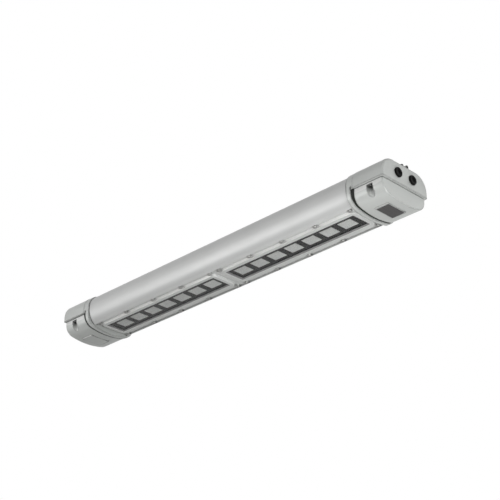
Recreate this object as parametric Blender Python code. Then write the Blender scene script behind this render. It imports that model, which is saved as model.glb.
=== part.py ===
"""Explosion-proof linear LED luminaire, ceiling mounted, modelled for Blender 4.5.

Metres, +Z up. The origin is the centre of the flat ceiling face on top of the body,
+X points to the end with the two cable entries. Heights of the pieces are given from the
parting level, where the terminal covers meet their housings.
"""
import math

import bmesh
import bpy

# Overall
OVERALL_LENGTH = 1.3
TERMINAL_END_LENGTH = 0.11
COLLAR_LENGTH = 0.013
CEILING_FACE_RISE = 0.076
CLEARANCE = 0.0003
OVERRUN = 0.002

# Body extrusion, an open section closed from below by the two window frames
BODY_WIDTH = 0.175
BODY_RISE = 0.06
BODY_CORNER_RADIUS = 0.045
BODY_WALL = 0.0035
FLANK_RADIUS = 0.055
FLANK_CENTRE_RISE = 0.0056
CHAMFER_DROP = 0.035
LIP_DROP = 0.0384
LIP_MARGIN = 0.0239
SHELF_DROP = 0.03
GEAR_FLOOR_DROP = 0.0155
LED_CHANNEL_MARGIN = 0.0011
LED_CHANNEL_DEPTH = 0.011
SPINE_WIDTH = 0.04
FIXING_SPACING = 0.7
FIXING_HOLE_DIAMETER = 0.0068
FIXING_HOLE_DEPTH = 0.007

# Window frames, with a raised rim round each window
WINDOW_END_MARGIN = 0.0242
WINDOW_SIDE_MARGIN = 0.0287
WINDOW_CORNER_RADIUS = 0.004
WINDOW_LEAST_RADIUS = 0.001
RIM_FLAT = 0.0115
RIM_SLOPE = 0.0022
LEDGE_THICKNESS = 0.0021
FLANGE_THICKNESS = 0.003
FRAME_CORNER_RADIUS = 0.002

# Window glass and its gasket
GLASS_THICKNESS = 0.0045
GLASS_OVERLAP = 0.0071
GASKET_UPPER_LEG = 0.0012
GASKET_LOWER_LEG = 0.0008
GASKET_WEB = 0.002
GASKET_GRIP = 0.0043
GASKET_LIP_WIDTH = 0.0053
GASKET_LIP_RECESS = 0.0005

# Frame screws
SCREWS_PER_SIDE = 5
SCREW_END_MARGIN = 0.0177
SCREW_DIAMETER = 0.0078
SCREW_HEAD_DIAMETER = 0.0128
SCREW_HEAD_HEIGHT = 0.0065
SCREW_SOCKET_ACROSS_CORNERS = 0.0068
SCREW_SOCKET_DEPTH = 0.0035
SCREW_ENGAGEMENT = 0.01
SCREW_POCKET_LENGTH = 0.022
SCREW_POCKET_WALL = 0.0014
SCREW_POCKET_RADIUS = 0.006
SCREW_EDGE_SHARE = 0.125

# Optics, bezels and boards behind the glass
OPTIC_COUNT = 7
OPTIC_ROW_MARGIN = 0.022
OPTIC_ROW_SHIFT = 0.0045
OPTIC_LENGTH = 0.044
OPTIC_WIDTH = 0.036
OPTIC_TRAY_MARGIN = 0.003
OPTIC_TRAY_END = 0.012
OPTIC_TRAY_WALL = 0.0015
OPTIC_TRAY_FLOOR = 0.002
OPTIC_EDGE = 0.0008
BEZEL_THICKNESS = 0.001
BEZEL_REST = 0.0015
BEZEL_END_GAP = 0.003
BOARD_MARGIN = 0.002
BOARD_THICKNESS = 0.0016
CHIP_SIZE = 0.014
CHIP_HEIGHT = 0.0012

# Terminal housings, one casting with the collar and its partition
HOUSING_WIDTH = 0.182
HOUSING_RISE = 0.062
HOUSING_CORNER_RADIUS = 0.045
HOUSING_WALL = 0.005
HOUSING_END_WALL = 0.008
HOUSING_RIM_HEIGHT = 0.005
HOUSING_EDGE_RADIUS = 0.005
COLLAR_STEP = 0.0008
COLLAR_STEP_DISTANCE = 0.0095
COLLAR_DROP = 0.051
COLLAR_CORNER_RADIUS = 0.037
COLLAR_EDGE = 0.001
PARTITION_THICKNESS = 0.01

# Terminal covers
COVER_INSET = 0.006
COVER_DROP = 0.0498
COVER_CORNER_RADIUS = 0.033
CROWN_SHARE = 1.412
COVER_WALL = 0.005
COVER_FLANGE_WIDTH = 0.0135
COVER_EDGE_RADIUS = 0.0025
PAD_LENGTH = 0.044
PAD_WIDTH = 0.07
PAD_OFFSET = 0.0525
PAD_STAND = 0.0008
PAD_ROOT_SHARE = 0.7

# Cover seals
SEAL_THICKNESS = 0.0012
SEAL_WIDTH = 0.004
SEAL_MARGIN = 0.0009
END_SEAL_TOP = 0.0105
END_SEAL_BOTTOM = 0.005
END_SEAL_STAND = 0.0024
SLOT_WIDTH = 0.0045
SLOT_HEIGHT = 0.007
SLOT_DEPTH = 0.004

# Captive cover screws
CAPTIVE_DIAMETER = 0.0058
CAPTIVE_HEAD_DIAMETER = 0.01
CAPTIVE_HEAD_HEIGHT = 0.006
CAPTIVE_SOCKET_ACROSS_CORNERS = 0.0056
CAPTIVE_SOCKET_DEPTH = 0.003
CAPTIVE_ENGAGEMENT = 0.014
CAPTIVE_OFFSET = 0.061
CAPTIVE_INSET = 0.0045
POCKET_WIDTH = 0.02
POCKET_WALL = 0.0035
POCKET_ROOF = 0.0044
SCREW_BOSS_DIAMETER = 0.02
SCREW_BOSS_HEIGHT = 0.025

# Cable entries with blanking plugs
ENTRY_SPACING = 0.058
ENTRY_RISE = 0.0296
ENTRY_DIAMETER = 0.025
PLUG_HEAD_DIAMETER = 0.0272
PLUG_HEAD_THICKNESS = 0.0035
PLUG_LENGTH = 0.014
PLUG_RECESS_ACROSS_CORNERS = 0.0138
PLUG_RECESS_DEPTH = 0.003
PLUG_EDGE = 0.0012
WASHER_THICKNESS = 0.001
WASHER_DIAMETER = 0.0278

# Earth terminal on the housing's top edge
EARTH_OFFSET = 0.0085
EARTH_STRIP_WIDTH = 0.011
EARTH_STRIP_THICKNESS = 0.0015
EARTH_STRIP_TAIL = 0.0055
EARTH_LOOP_DISTANCE = 0.016
EARTH_LOOP_RADIUS = 0.0036
EARTH_SCREW_DIAMETER = 0.0048
EARTH_HEAD_DIAMETER = 0.0104
EARTH_HEAD_HEIGHT = 0.004
EARTH_ENGAGEMENT = 0.0035

# Rating plate
PLATE_LENGTH = 0.04
PLATE_WIDTH = 0.064
PLATE_THICKNESS = 0.0008

# Tie rods that clamp both housings onto the body
ROD_DIAMETER = 0.008
ROD_NUT_ACROSS_CORNERS = 0.015
ROD_NUT_HEIGHT = 0.0065
ROD_SIDE_MARGIN = 0.0225
ROD_RISE = 0.028
ROD_TIP_SHARE = 0.25

# Gear inside the body
TRAY_END_MARGIN = 0.0367
TRAY_SIDE_MARGIN = 0.0375
TRAY_THICKNESS = 0.0015
TRAY_FLANGE = 0.01
DRIVER_LENGTH = 0.28
DRIVER_WIDTH = 0.06
DRIVER_HEIGHT = 0.038
DRIVER_OFFSET = 0.0135
DRIVER_EDGE = 0.003
DRIVER_FOOT_LENGTH = 0.012
DRIVER_FOOT_THICKNESS = 0.003

# Line bushings and their potted leads
BUSHING_DIAMETER = 0.0194
BUSHING_HEAD_ACROSS_CORNERS = 0.025
BUSHING_HEAD_HEIGHT = 0.006
BUSHING_RISE = 0.04
BUSHING_NOSE = 0.004
LEAD_DIAMETER = 0.007
LEAD_RISE_AT_DRIVER = 0.012
LEAD_BEND = 0.02

# Terminal blocks
BLOCK_LENGTH = 0.03
BLOCK_WIDTH = 0.062
BLOCK_HEIGHT = 0.026
BLOCK_OFFSET = 0.04
BLOCK_WAYS = 5
BLOCK_WELL_DIAMETER = 0.006
BLOCK_WELL_DEPTH = 0.008
BLOCK_EDGE = 0.0015

# Facets
CORNER_STEPS = 8
CROWN_STEPS = 4
EDGE_STEPS = 3
WINDOW_CORNER_STEPS = 3
SCREW_SIDES = 10
BOSS_SIDES = 16
ENTRY_SIDES = 24
HEX_SIDES = 6
WELL_SIDES = 8
LEAD_STEPS = 8
SMOOTH_ANGLE = math.radians(35)

# Levels measured from the parting level, and stations along the body
end_x = OVERALL_LENGTH / 2
collar_front_x = end_x - TERMINAL_END_LENGTH
collar_back_x = collar_front_x - COLLAR_LENGTH
body_end_x = collar_back_x - CLEARANCE
body_half_width = BODY_WIDTH / 2
mouth_half_width = body_half_width - LIP_MARGIN
window_half_width = mouth_half_width - WINDOW_SIDE_MARGIN
channel_half_width = window_half_width + LED_CHANNEL_MARGIN
optic_tray_half_width = channel_half_width - OPTIC_TRAY_MARGIN
board_half_width = channel_half_width - BOARD_MARGIN
tray_half_width = body_half_width - TRAY_SIDE_MARGIN
rod_y = body_half_width - ROD_SIDE_MARGIN
frame_half_length = (body_end_x - CLEARANCE) / 2
frame_half_width = mouth_half_width - CLEARANCE
window_x = (body_end_x + CLEARANCE) / 2
window_half_length = frame_half_length - WINDOW_END_MARGIN
optic_pitch = 2 * (window_half_length - OPTIC_ROW_MARGIN - OPTIC_LENGTH / 2) / (OPTIC_COUNT - 1)
driver_x = window_x - DRIVER_OFFSET
tray_half_length = body_end_x - TRAY_END_MARGIN
crown_radius = HOUSING_WIDTH * CROWN_SHARE
glass_top = -SHELF_DROP - GASKET_UPPER_LEG - 2 * CLEARANCE
glass_bottom = glass_top - GLASS_THICKNESS
ledge_top = glass_bottom - GASKET_LOWER_LEG - 2 * CLEARANCE
rim_bottom = ledge_top - LEDGE_THICKNESS
flange_top = -SHELF_DROP - CLEARANCE
flange_bottom = flange_top - FLANGE_THICKNESS
rim_foot = window_half_width + RIM_FLAT + RIM_SLOPE
screw_y = (rim_foot + mouth_half_width) / 2
gasket_room = GLASS_OVERLAP + GASKET_WEB + 2 * CLEARANCE
screw_pocket_half_width = screw_y - window_half_width - gasket_room - SCREW_POCKET_WALL
screw_pitch = 2 * (frame_half_length - SCREW_END_MARGIN) / (SCREWS_PER_SIDE - 1)
channel_top = LED_CHANNEL_DEPTH - SHELF_DROP
board_bottom = channel_top - CLEARANCE - BOARD_THICKNESS
cover_half_width = HOUSING_WIDTH / 2 - COVER_INSET
cover_end_x = end_x - COVER_INSET
cover_top = -SEAL_THICKNESS - 2 * CLEARANCE
captive_x = end_x - TERMINAL_END_LENGTH + CAPTIVE_OFFSET
captive_y = cover_half_width - CAPTIVE_INSET
pad_bottom = -COVER_DROP - PAD_STAND
pad_x = end_x - PAD_OFFSET
pocket_top = cover_top - POCKET_ROOF


def remove_everything():
    for item in list(bpy.data.objects):
        bpy.data.objects.remove(item, do_unlink=True)


def material(name, colour, roughness, metallic=0.0):
    made = bpy.data.materials.new(name)
    made.use_nodes = True
    shader = made.node_tree.nodes["Principled BSDF"]
    shader.inputs["Base Color"].default_value = (*colour, 1.0)
    shader.inputs["Roughness"].default_value = roughness
    shader.inputs["Metallic"].default_value = metallic
    made.diffuse_color = (*colour, 1.0)
    return made


def empty(name, parent=None, location=(0, 0, 0), turn=0):
    made = bpy.data.objects.new(name, None)
    made.location = location
    made.rotation_euler = (0, 0, turn)
    made.parent = parent
    bpy.context.scene.collection.objects.link(made)
    return made


def place(name, bm, finish, parent, location=(0, 0, 0)):
    """Turns a bmesh into an object of its own under a parent, shaded smooth where round."""
    bmesh.ops.recalc_face_normals(bm, faces=bm.faces)
    if bm.calc_volume(signed=True) < 0:
        bmesh.ops.reverse_faces(bm, faces=bm.faces)
    mesh = bpy.data.meshes.new(name)
    bm.to_mesh(mesh)
    bm.free()
    if finish:
        mesh.materials.append(finish)
    mesh.shade_smooth()
    mesh.set_sharp_from_angle(angle=SMOOTH_ANGLE)
    made = bpy.data.objects.new(name, mesh)
    made.location = location
    made.parent = parent
    bpy.context.scene.collection.objects.link(made)
    return made


def combine(target, tool, operation="DIFFERENCE"):
    """Cuts a tool body out of a piece, or joins it on, and keeps the tool out of the part."""
    tool.hide_render = True
    tool.display_type = "WIRE"
    step = target.modifiers.new(operation.lower() + "_" + tool.name, "BOOLEAN")
    step.operation = operation
    step.solver = "EXACT"
    step.object = tool


def arc(centre_a, centre_b, radius, start, end, steps):
    points = []
    for step in range(steps + 1):
        angle = start + (end - start) * step / steps
        points.append((centre_a + radius * math.cos(angle), centre_b + radius * math.sin(angle)))
    return points


def mirrored(half):
    """Closes a half outline, given for positive Y, with its mirror image."""
    other = [(-y, z) for y, z in reversed(half) if abs(y) > CLEARANCE / 2]
    return half + other


def loft_into(bm, loops, closed=False):
    """Skins loops of equally many points; a closed loft runs back to its first loop."""
    rings = [[bm.verts.new(point) for point in loop] for loop in loops]
    count = len(rings[0])
    pairs = list(zip(rings, rings[1:]))
    if closed:
        pairs.append((rings[-1], rings[0]))
    else:
        caps = [bm.faces.new(rings[0]), bm.faces.new(rings[-1])]
        bm.normal_update()
        bmesh.ops.triangulate(bm, faces=[cap for cap in caps if len(cap.verts) > 4])
    for near, far in pairs:
        for index in range(count):
            following = (index + 1) % count
            bm.faces.new((near[index], near[following], far[following], far[index]))


def along_x(outline, x):
    return [(x, y, z) for y, z in outline]


def along_z(outline, z):
    return [(x, y, z) for x, y in outline]


def prism_x(bm, outline, start, end):
    loft_into(bm, [along_x(outline, start), along_x(outline, end)])


def prism_z(bm, outline, start, end):
    loft_into(bm, [along_z(outline, start), along_z(outline, end)])


def box_into(bm, x_range, y_range, z_range):
    corners = [(x_range[0], y_range[0]), (x_range[1], y_range[0])]
    corners += [(x_range[1], y_range[1]), (x_range[0], y_range[1])]
    prism_z(bm, corners, z_range[0], z_range[1])


def circle(x, y, radius, sides, phase=0.0):
    points = []
    for side in range(sides):
        angle = phase + 2 * math.pi * side / sides
        points.append((x + radius * math.cos(angle), y + radius * math.sin(angle)))
    return points


def rounded_rectangle(half_x, half_y, radius, steps):
    """Corner points of a rounded rectangle about the origin, anticlockwise from +X."""
    points = []
    for quarter, (side_x, side_y) in enumerate(((1, 1), (-1, 1), (-1, -1), (1, -1))):
        start = quarter * math.pi / 2
        centre = (side_x * (half_x - radius), side_y * (half_y - radius))
        points += arc(centre[0], centre[1], radius, start, start + math.pi / 2, steps)
    return points


def turned_into(bm, profile, sides, axis="Z", centre=(0, 0, 0)):
    """Stacks rings of the given (radius, height) pairs along an axis, with flat ends."""
    loops = []
    for radius, height in profile:
        ring = circle(0, 0, radius, sides)
        if axis == "Z":
            loops.append([(centre[0] + a, centre[1] + b, centre[2] + height) for a, b in ring])
        else:
            loops.append([(centre[0] + height, centre[1] + a, centre[2] + b) for a, b in ring])
    loft_into(bm, loops)


def upper_half_outline(half_width, rise, radius):
    """The rounded upper casing, from its top down to the parting level."""
    points = arc(half_width - radius, rise - radius, radius, math.pi / 2, 0, CORNER_STEPS)
    return points


def lower_half_outline(half_width, drop, radius, crown):
    """The side, corner and crowned bottom below the parting level, down to the centre."""
    corner_y = half_width - radius
    crown_z = crown - drop
    reach = crown - radius
    corner_z = crown_z - math.sqrt(reach ** 2 - corner_y ** 2)
    meeting = math.asin(corner_y / reach) - math.pi / 2
    points = arc(corner_y, corner_z, radius, 0, meeting, CORNER_STEPS)
    points += arc(0, crown_z, crown, meeting, -math.pi / 2, CROWN_STEPS)[1:]
    return points


def flank_angle(level, radius):
    return math.asin((level - FLANK_CENTRE_RISE) / radius)


def body_half_outline():
    """Half of the extrusion's outer section, from the ceiling face to the LED channel."""
    corner = BODY_CORNER_RADIUS
    centre_y = body_half_width - FLANK_RADIUS
    points = [(SPINE_WIDTH / 2, CEILING_FACE_RISE), (SPINE_WIDTH / 2, BODY_RISE)]
    points += arc(body_half_width - corner, BODY_RISE - corner, corner, math.pi / 2, 0, CORNER_STEPS)
    chamfer_start = flank_angle(-CHAMFER_DROP, FLANK_RADIUS)
    points += arc(centre_y, FLANK_CENTRE_RISE, FLANK_RADIUS, 0, chamfer_start, CORNER_STEPS)
    points.append((mouth_half_width, -LIP_DROP))
    points.append((mouth_half_width, -SHELF_DROP))
    points.append((channel_half_width, -SHELF_DROP))
    points.append((channel_half_width, channel_top))
    return points


def gear_space_half_outline():
    """Half of the gear space inside the extrusion, which the collars' recesses repeat."""
    corner = BODY_CORNER_RADIUS - BODY_WALL
    inner_radius = FLANK_RADIUS - BODY_WALL
    centre_y = body_half_width - FLANK_RADIUS
    corner_centre = (body_half_width - BODY_CORNER_RADIUS, BODY_RISE - BODY_CORNER_RADIUS)
    points = arc(corner_centre[0], corner_centre[1], corner, math.pi / 2, 0, CORNER_STEPS)
    floor_angle = flank_angle(-GEAR_FLOOR_DROP, inner_radius)
    points += arc(centre_y, FLANK_CENTRE_RISE, inner_radius, 0, floor_angle, EDGE_STEPS)
    return points


def frame_screw_places():
    """Places of the screws round one window, from the window's centre."""
    places = []
    for side in (-1, 1):
        for number in range(SCREWS_PER_SIDE):
            offset = (number - (SCREWS_PER_SIDE - 1) / 2) * screw_pitch
            places.append((offset, side * screw_y))
    return places


def make_body(finish, fixture):
    bm = bmesh.new()
    prism_x(bm, mirrored(body_half_outline()), -body_end_x, body_end_x)
    body = place("body_extrusion", bm, finish, fixture)
    bm = bmesh.new()
    reach = body_end_x + OVERRUN
    prism_x(bm, mirrored(gear_space_half_outline()), -reach, reach)
    combine(body, place("gear_space", bm, None, fixture))
    bm = bmesh.new()
    hole_radius = SCREW_DIAMETER / 2 + CLEARANCE
    hole_top = flange_bottom + FLANGE_THICKNESS + SCREW_ENGAGEMENT + CLEARANCE
    for side in (-1, 1):
        for x, y in frame_screw_places():
            ring = circle(side * window_x + x, y, hole_radius, SCREW_SIDES)
            prism_z(bm, ring, -SHELF_DROP - OVERRUN, hole_top)
        fixing = circle(side * FIXING_SPACING / 2, 0, FIXING_HOLE_DIAMETER / 2, ENTRY_SIDES)
        prism_z(bm, fixing, CEILING_FACE_RISE - FIXING_HOLE_DEPTH, CEILING_FACE_RISE + OVERRUN)
    combine(body, place("body_holes", bm, None, fixture))
    return body


def window_loop(offset, z):
    """A rounded rectangle set a given distance outside the window opening."""
    half_x = window_half_length + offset
    half_y = window_half_width + offset
    radius = max(WINDOW_CORNER_RADIUS + offset, WINDOW_LEAST_RADIUS)
    return along_z(rounded_rectangle(half_x, half_y, radius, WINDOW_CORNER_STEPS), z)


def frame_edge_loop(z):
    size = (frame_half_length, frame_half_width)
    outline = rounded_rectangle(*size, FRAME_CORNER_RADIUS, WINDOW_CORNER_STEPS)
    return along_z(outline, z)


def make_window_frame(name, finish, window):
    loops = [
        frame_edge_loop(flange_bottom),
        frame_edge_loop(flange_top),
        window_loop(gasket_room, flange_top),
        window_loop(gasket_room, ledge_top),
        window_loop(0, ledge_top),
        window_loop(0, rim_bottom),
        window_loop(RIM_FLAT, rim_bottom),
        window_loop(RIM_FLAT + RIM_SLOPE, flange_bottom),
    ]
    bm = bmesh.new()
    loft_into(bm, loops, closed=True)
    frame = place(name, bm, finish, window)
    bm = bmesh.new()
    pocket_size = (SCREW_POCKET_LENGTH / 2, screw_pocket_half_width)
    pocket = rounded_rectangle(*pocket_size, SCREW_POCKET_RADIUS, WINDOW_CORNER_STEPS)
    for x, y in frame_screw_places():
        outline = [(x + a, y + b) for a, b in pocket]
        prism_z(bm, outline, rim_bottom - OVERRUN, flange_bottom)
    combine(frame, place(name + "_pockets", bm, None, window))
    bm = bmesh.new()
    for x, y in frame_screw_places():
        ring = circle(x, y, SCREW_DIAMETER / 2 + CLEARANCE, SCREW_SIDES)
        prism_z(bm, ring, flange_bottom - OVERRUN, flange_top + OVERRUN)
    combine(frame, place(name + "_holes", bm, None, window))
    return frame


def make_window_gasket(name, finish, window):
    outer = GLASS_OVERLAP + CLEARANCE + GASKET_WEB
    web = GLASS_OVERLAP + CLEARANCE
    lip_inner = -GASKET_LIP_WIDTH - CLEARANCE
    leg_bottom = glass_bottom - CLEARANCE - GASKET_LOWER_LEG
    loops = [
        window_loop(lip_inner, glass_bottom - CLEARANCE),
        window_loop(-CLEARANCE, rim_bottom + GASKET_LIP_RECESS),
        window_loop(-CLEARANCE, leg_bottom),
        window_loop(outer, leg_bottom),
        window_loop(outer, flange_top),
        window_loop(web - GASKET_GRIP, flange_top),
        window_loop(web - GASKET_GRIP, glass_top + CLEARANCE),
        window_loop(web, glass_top + CLEARANCE),
        window_loop(web, glass_bottom - CLEARANCE),
    ]
    bm = bmesh.new()
    loft_into(bm, loops, closed=True)
    return place(name, bm, finish, window)


def make_window_glass(name, finish, window):
    bm = bmesh.new()
    loft_into(bm, [window_loop(GLASS_OVERLAP, glass_bottom), window_loop(GLASS_OVERLAP, glass_top)])
    return place(name, bm, finish, window)


def optic_places():
    return [(number - (OPTIC_COUNT - 1) / 2) * optic_pitch for number in range(OPTIC_COUNT)]


def optic_row_half_length():
    return window_half_length - OPTIC_ROW_MARGIN


def make_bezel(name, finish, window, row):
    """A mask over the whole window, with one hole for each lens block of the row."""
    half_x = window_half_length - BEZEL_END_GAP
    half_y = channel_half_width + BEZEL_REST
    bezel_bottom = flange_top - BEZEL_THICKNESS
    bm = bmesh.new()
    outline = rounded_rectangle(half_x, half_y, WINDOW_CORNER_RADIUS, WINDOW_CORNER_STEPS)
    prism_z(bm, outline, bezel_bottom, flange_top)
    bezel = place(name, bm, finish, window)
    bm = bmesh.new()
    hole_x = OPTIC_LENGTH / 2 + CLEARANCE
    hole_y = OPTIC_WIDTH / 2 + CLEARANCE
    hole_z = (bezel_bottom - OVERRUN, flange_top + OVERRUN)
    for x in optic_places():
        box_into(bm, (x - hole_x, x + hole_x), (-hole_y, hole_y), hole_z)
    combine(bezel, place(name + "_holes", bm, None, row))
    return bezel


def make_optic_strip(name, finish, window):
    """A moulded tray standing on the LED board, with one square lens block for each LED."""
    half_x = optic_row_half_length() + OPTIC_TRAY_END
    half_y = optic_tray_half_width
    tray_bottom = flange_top + CLEARANCE
    tray_top = board_bottom - CLEARANCE
    bm = bmesh.new()
    box_into(bm, (-half_x, half_x), (-half_y, half_y), (tray_bottom, tray_top))
    strip = place(name, bm, finish, window)
    bm = bmesh.new()
    inner_x = half_x - OPTIC_TRAY_WALL
    inner_y = half_y - OPTIC_TRAY_WALL
    floor = tray_bottom + OPTIC_TRAY_FLOOR
    box_into(bm, (-inner_x, inner_x), (-inner_y, inner_y), (floor, tray_top + OVERRUN))
    combine(strip, place(name + "_hollow", bm, None, window))
    bm = bmesh.new()
    lens_bottom = glass_top + CLEARANCE
    for x in optic_places():
        loops = []
        for inset, z in ((OPTIC_EDGE, lens_bottom), (0, lens_bottom + OPTIC_EDGE), (0, floor - OPTIC_EDGE)):
            outline = rounded_rectangle(OPTIC_LENGTH / 2 - inset, OPTIC_WIDTH / 2 - inset, OPTIC_EDGE, 1)
            loops.append([(x + a, b, z) for a, b in outline])
        loft_into(bm, loops)
    combine(strip, place(name + "_lenses", bm, None, window), "UNION")
    return strip


def make_led_board(name, finish, window):
    half_x = optic_row_half_length() + OPTIC_TRAY_END
    board_top = channel_top - CLEARANCE
    bm = bmesh.new()
    box_into(bm, (-half_x, half_x), (-board_half_width, board_half_width), (board_bottom, board_top))
    board = place(name, bm, finish, window)
    bm = bmesh.new()
    half_chip = CHIP_SIZE / 2
    for x in optic_places():
        chip_z = (board_bottom - CHIP_HEIGHT, board_bottom + BOARD_THICKNESS / 2)
        box_into(bm, (x - half_chip, x + half_chip), (-half_chip, half_chip), chip_z)
    combine(board, place(name + "_chips", bm, None, window), "UNION")
    return board


def socket_screw(name, finish, parent, location, shank, head, socket, facing):
    """A cap screw about Z. The head starts at the origin and the shank runs the other way."""
    shank_radius, shank_length = shank
    head_radius, head_height = head
    socket_radius, socket_depth = socket
    edge = head_height * SCREW_EDGE_SHARE
    profile = [
        (shank_radius, -facing * shank_length),
        (shank_radius, 0),
        (head_radius, 0),
        (head_radius, facing * (head_height - edge)),
        (head_radius - edge, facing * head_height),
    ]
    bm = bmesh.new()
    turned_into(bm, profile, SCREW_SIDES)
    screw = place(name, bm, finish, parent, location)
    bm = bmesh.new()
    ends = sorted((facing * (head_height - socket_depth), facing * (head_height + OVERRUN)))
    prism_z(bm, circle(0, 0, socket_radius, HEX_SIDES), ends[0], ends[1])
    combine(screw, place(name + "_socket", bm, None, parent, location))
    return screw


def make_frame_screws(side_name, finish, window):
    shank = (SCREW_DIAMETER / 2, FLANGE_THICKNESS + SCREW_ENGAGEMENT + CLEARANCE)
    head = (SCREW_HEAD_DIAMETER / 2, SCREW_HEAD_HEIGHT)
    socket = (SCREW_SOCKET_ACROSS_CORNERS / 2, SCREW_SOCKET_DEPTH)
    for number, (x, y) in enumerate(frame_screw_places(), start=1):
        name = f"frame_screw_{side_name}_{number:02d}"
        place_z = flange_bottom - CLEARANCE
        socket_screw(name, finish, window, (x, y, place_z), shank, head, socket, -1)


def cover_inner_end(z):
    """X of the cover's slanted inner end, which squeezes the end seal as the cover rises."""
    share = min(max((cover_top - z) / (COVER_DROP + cover_top), 0), 1)
    seal = END_SEAL_TOP + (END_SEAL_BOTTOM - END_SEAL_TOP) * share
    return collar_front_x + seal + 2 * CLEARANCE


def edge_rounding(radius):
    """Pairs of inset and setback that round an end face's edge."""
    pairs = []
    for step in range(EDGE_STEPS + 1):
        angle = math.pi / 2 * step / EDGE_STEPS
        pairs.append((radius * (1 - math.cos(angle)), radius * (1 - math.sin(angle))))
    return pairs


def housing_outline(inset):
    half = upper_half_outline(HOUSING_WIDTH / 2 - inset, HOUSING_RISE - inset, HOUSING_CORNER_RADIUS - inset)
    half.append((HOUSING_WIDTH / 2 - inset, 0))
    return mirrored(half)


def collar_outline(inset):
    half_width = HOUSING_WIDTH / 2 - COLLAR_STEP - inset
    rise = HOUSING_RISE - COLLAR_STEP - inset
    half = upper_half_outline(half_width, rise, HOUSING_CORNER_RADIUS - COLLAR_STEP - inset)
    drop = COLLAR_DROP - inset
    half += lower_half_outline(half_width, drop, COLLAR_CORNER_RADIUS - inset, crown_radius - inset)
    return mirrored(half)


def cover_half_outline(inset):
    half_width = cover_half_width - inset
    radius = COVER_CORNER_RADIUS - inset
    return lower_half_outline(half_width, COVER_DROP - inset, radius, crown_radius - inset)


def cover_outline(inset, top):
    half = [(cover_half_width - inset, top)] + cover_half_outline(inset)
    return mirrored(half)


def captive_places():
    return [(captive_x, side * captive_y) for side in (-1, 1)]


def make_housing(name, finish, end, entries):
    step_x = collar_front_x + COLLAR_STEP_DISTANCE
    loops = [
        along_x(housing_outline(COLLAR_STEP), collar_front_x - COLLAR_EDGE),
        along_x(housing_outline(COLLAR_STEP), step_x - COLLAR_STEP),
        along_x(housing_outline(0), step_x),
    ]
    for inset, setback in edge_rounding(HOUSING_EDGE_RADIUS):
        loops.append(along_x(housing_outline(inset), end_x - setback))
    bm = bmesh.new()
    loft_into(bm, loops)
    housing = place(name, bm, finish, end)
    bm = bmesh.new()
    collar = [along_x(collar_outline(COLLAR_EDGE), collar_back_x)]
    collar.append(along_x(collar_outline(0), collar_back_x + COLLAR_EDGE))
    collar.append(along_x(collar_outline(0), collar_front_x))
    loft_into(bm, collar)
    combine(housing, place(name + "_collar", bm, None, end), "UNION")
    cut_terminal_space(housing, name, end)
    bm = bmesh.new()
    boss = SCREW_BOSS_DIAMETER / 2
    for x, y in captive_places():
        prism_z(bm, circle(x, y, boss, BOSS_SIDES), 0, SCREW_BOSS_HEIGHT)
    combine(housing, place(name + "_bosses", bm, None, end), "UNION")
    cut_housing_holes(housing, name, end, entries)
    return housing


def cut_terminal_space(housing, name, end):
    """Hollows the housing from below and the collar from the body's side."""
    start = collar_front_x + CLEARANCE
    inner = HOUSING_WALL
    half = upper_half_outline(HOUSING_WIDTH / 2 - inner, HOUSING_RISE - inner, HOUSING_CORNER_RADIUS - inner)
    half.append((HOUSING_WIDTH / 2 - inner, HOUSING_RIM_HEIGHT))
    bm = bmesh.new()
    prism_x(bm, mirrored(half), start, end_x - HOUSING_END_WALL)
    combine(housing, place(name + "_space", bm, None, end))
    bm = bmesh.new()
    mouth_y = cover_half_width - COVER_FLANGE_WIDTH
    mouth_x = cover_end_x - COVER_FLANGE_WIDTH
    box_into(bm, (start, mouth_x), (-mouth_y, mouth_y), (-OVERRUN, HOUSING_RIM_HEIGHT + OVERRUN))
    slot_x = (start, start + SLOT_WIDTH)
    for side in (-1, 1):
        slot_y = sorted((side * (HOUSING_WIDTH / 2 - SLOT_DEPTH), side * (HOUSING_WIDTH / 2 + OVERRUN)))
        box_into(bm, slot_x, slot_y, (-OVERRUN, SLOT_HEIGHT))
    combine(housing, place(name + "_mouth", bm, None, end))
    bm = bmesh.new()
    recess_end = collar_front_x - PARTITION_THICKNESS
    prism_x(bm, mirrored(gear_space_half_outline()), collar_back_x - OVERRUN, recess_end)
    combine(housing, place(name + "_recess", bm, None, end))


def cut_housing_holes(housing, name, end, entries):
    bm = bmesh.new()
    captive_radius = CAPTIVE_DIAMETER / 2 + CLEARANCE
    for x, y in captive_places():
        top = CAPTIVE_ENGAGEMENT + OVERRUN
        prism_z(bm, circle(x, y, captive_radius, SCREW_SIDES), -OVERRUN, top)
    partition = (collar_back_x - OVERRUN, collar_front_x + OVERRUN)
    hole = BUSHING_DIAMETER / 2 + CLEARANCE
    turned_into(bm, [(hole, partition[0]), (hole, partition[1])], BOSS_SIDES, "X", (0, 0, BUSHING_RISE))
    rod_hole = ROD_DIAMETER / 2 + CLEARANCE
    for side in (-1, 1):
        centre = (0, side * rod_y, ROD_RISE)
        turned_into(bm, [(rod_hole, partition[0]), (rod_hole, partition[1])], SCREW_SIDES, "X", centre)
    if entries:
        entry = ENTRY_DIAMETER / 2
        reach = (end_x - HOUSING_END_WALL - OVERRUN, end_x + OVERRUN)
        for side in (-1, 1):
            centre = (0, side * ENTRY_SPACING / 2, ENTRY_RISE)
            turned_into(bm, [(entry, reach[0]), (entry, reach[1])], ENTRY_SIDES, "X", centre)
        earth = circle(end_x - EARTH_OFFSET, 0, EARTH_SCREW_DIAMETER / 2 + CLEARANCE, SCREW_SIDES)
        earth_floor = HOUSING_RISE - EARTH_ENGAGEMENT - 2 * CLEARANCE
        prism_z(bm, earth, earth_floor, HOUSING_RISE + OVERRUN)
    combine(housing, place(name + "_holes", bm, None, end))


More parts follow.
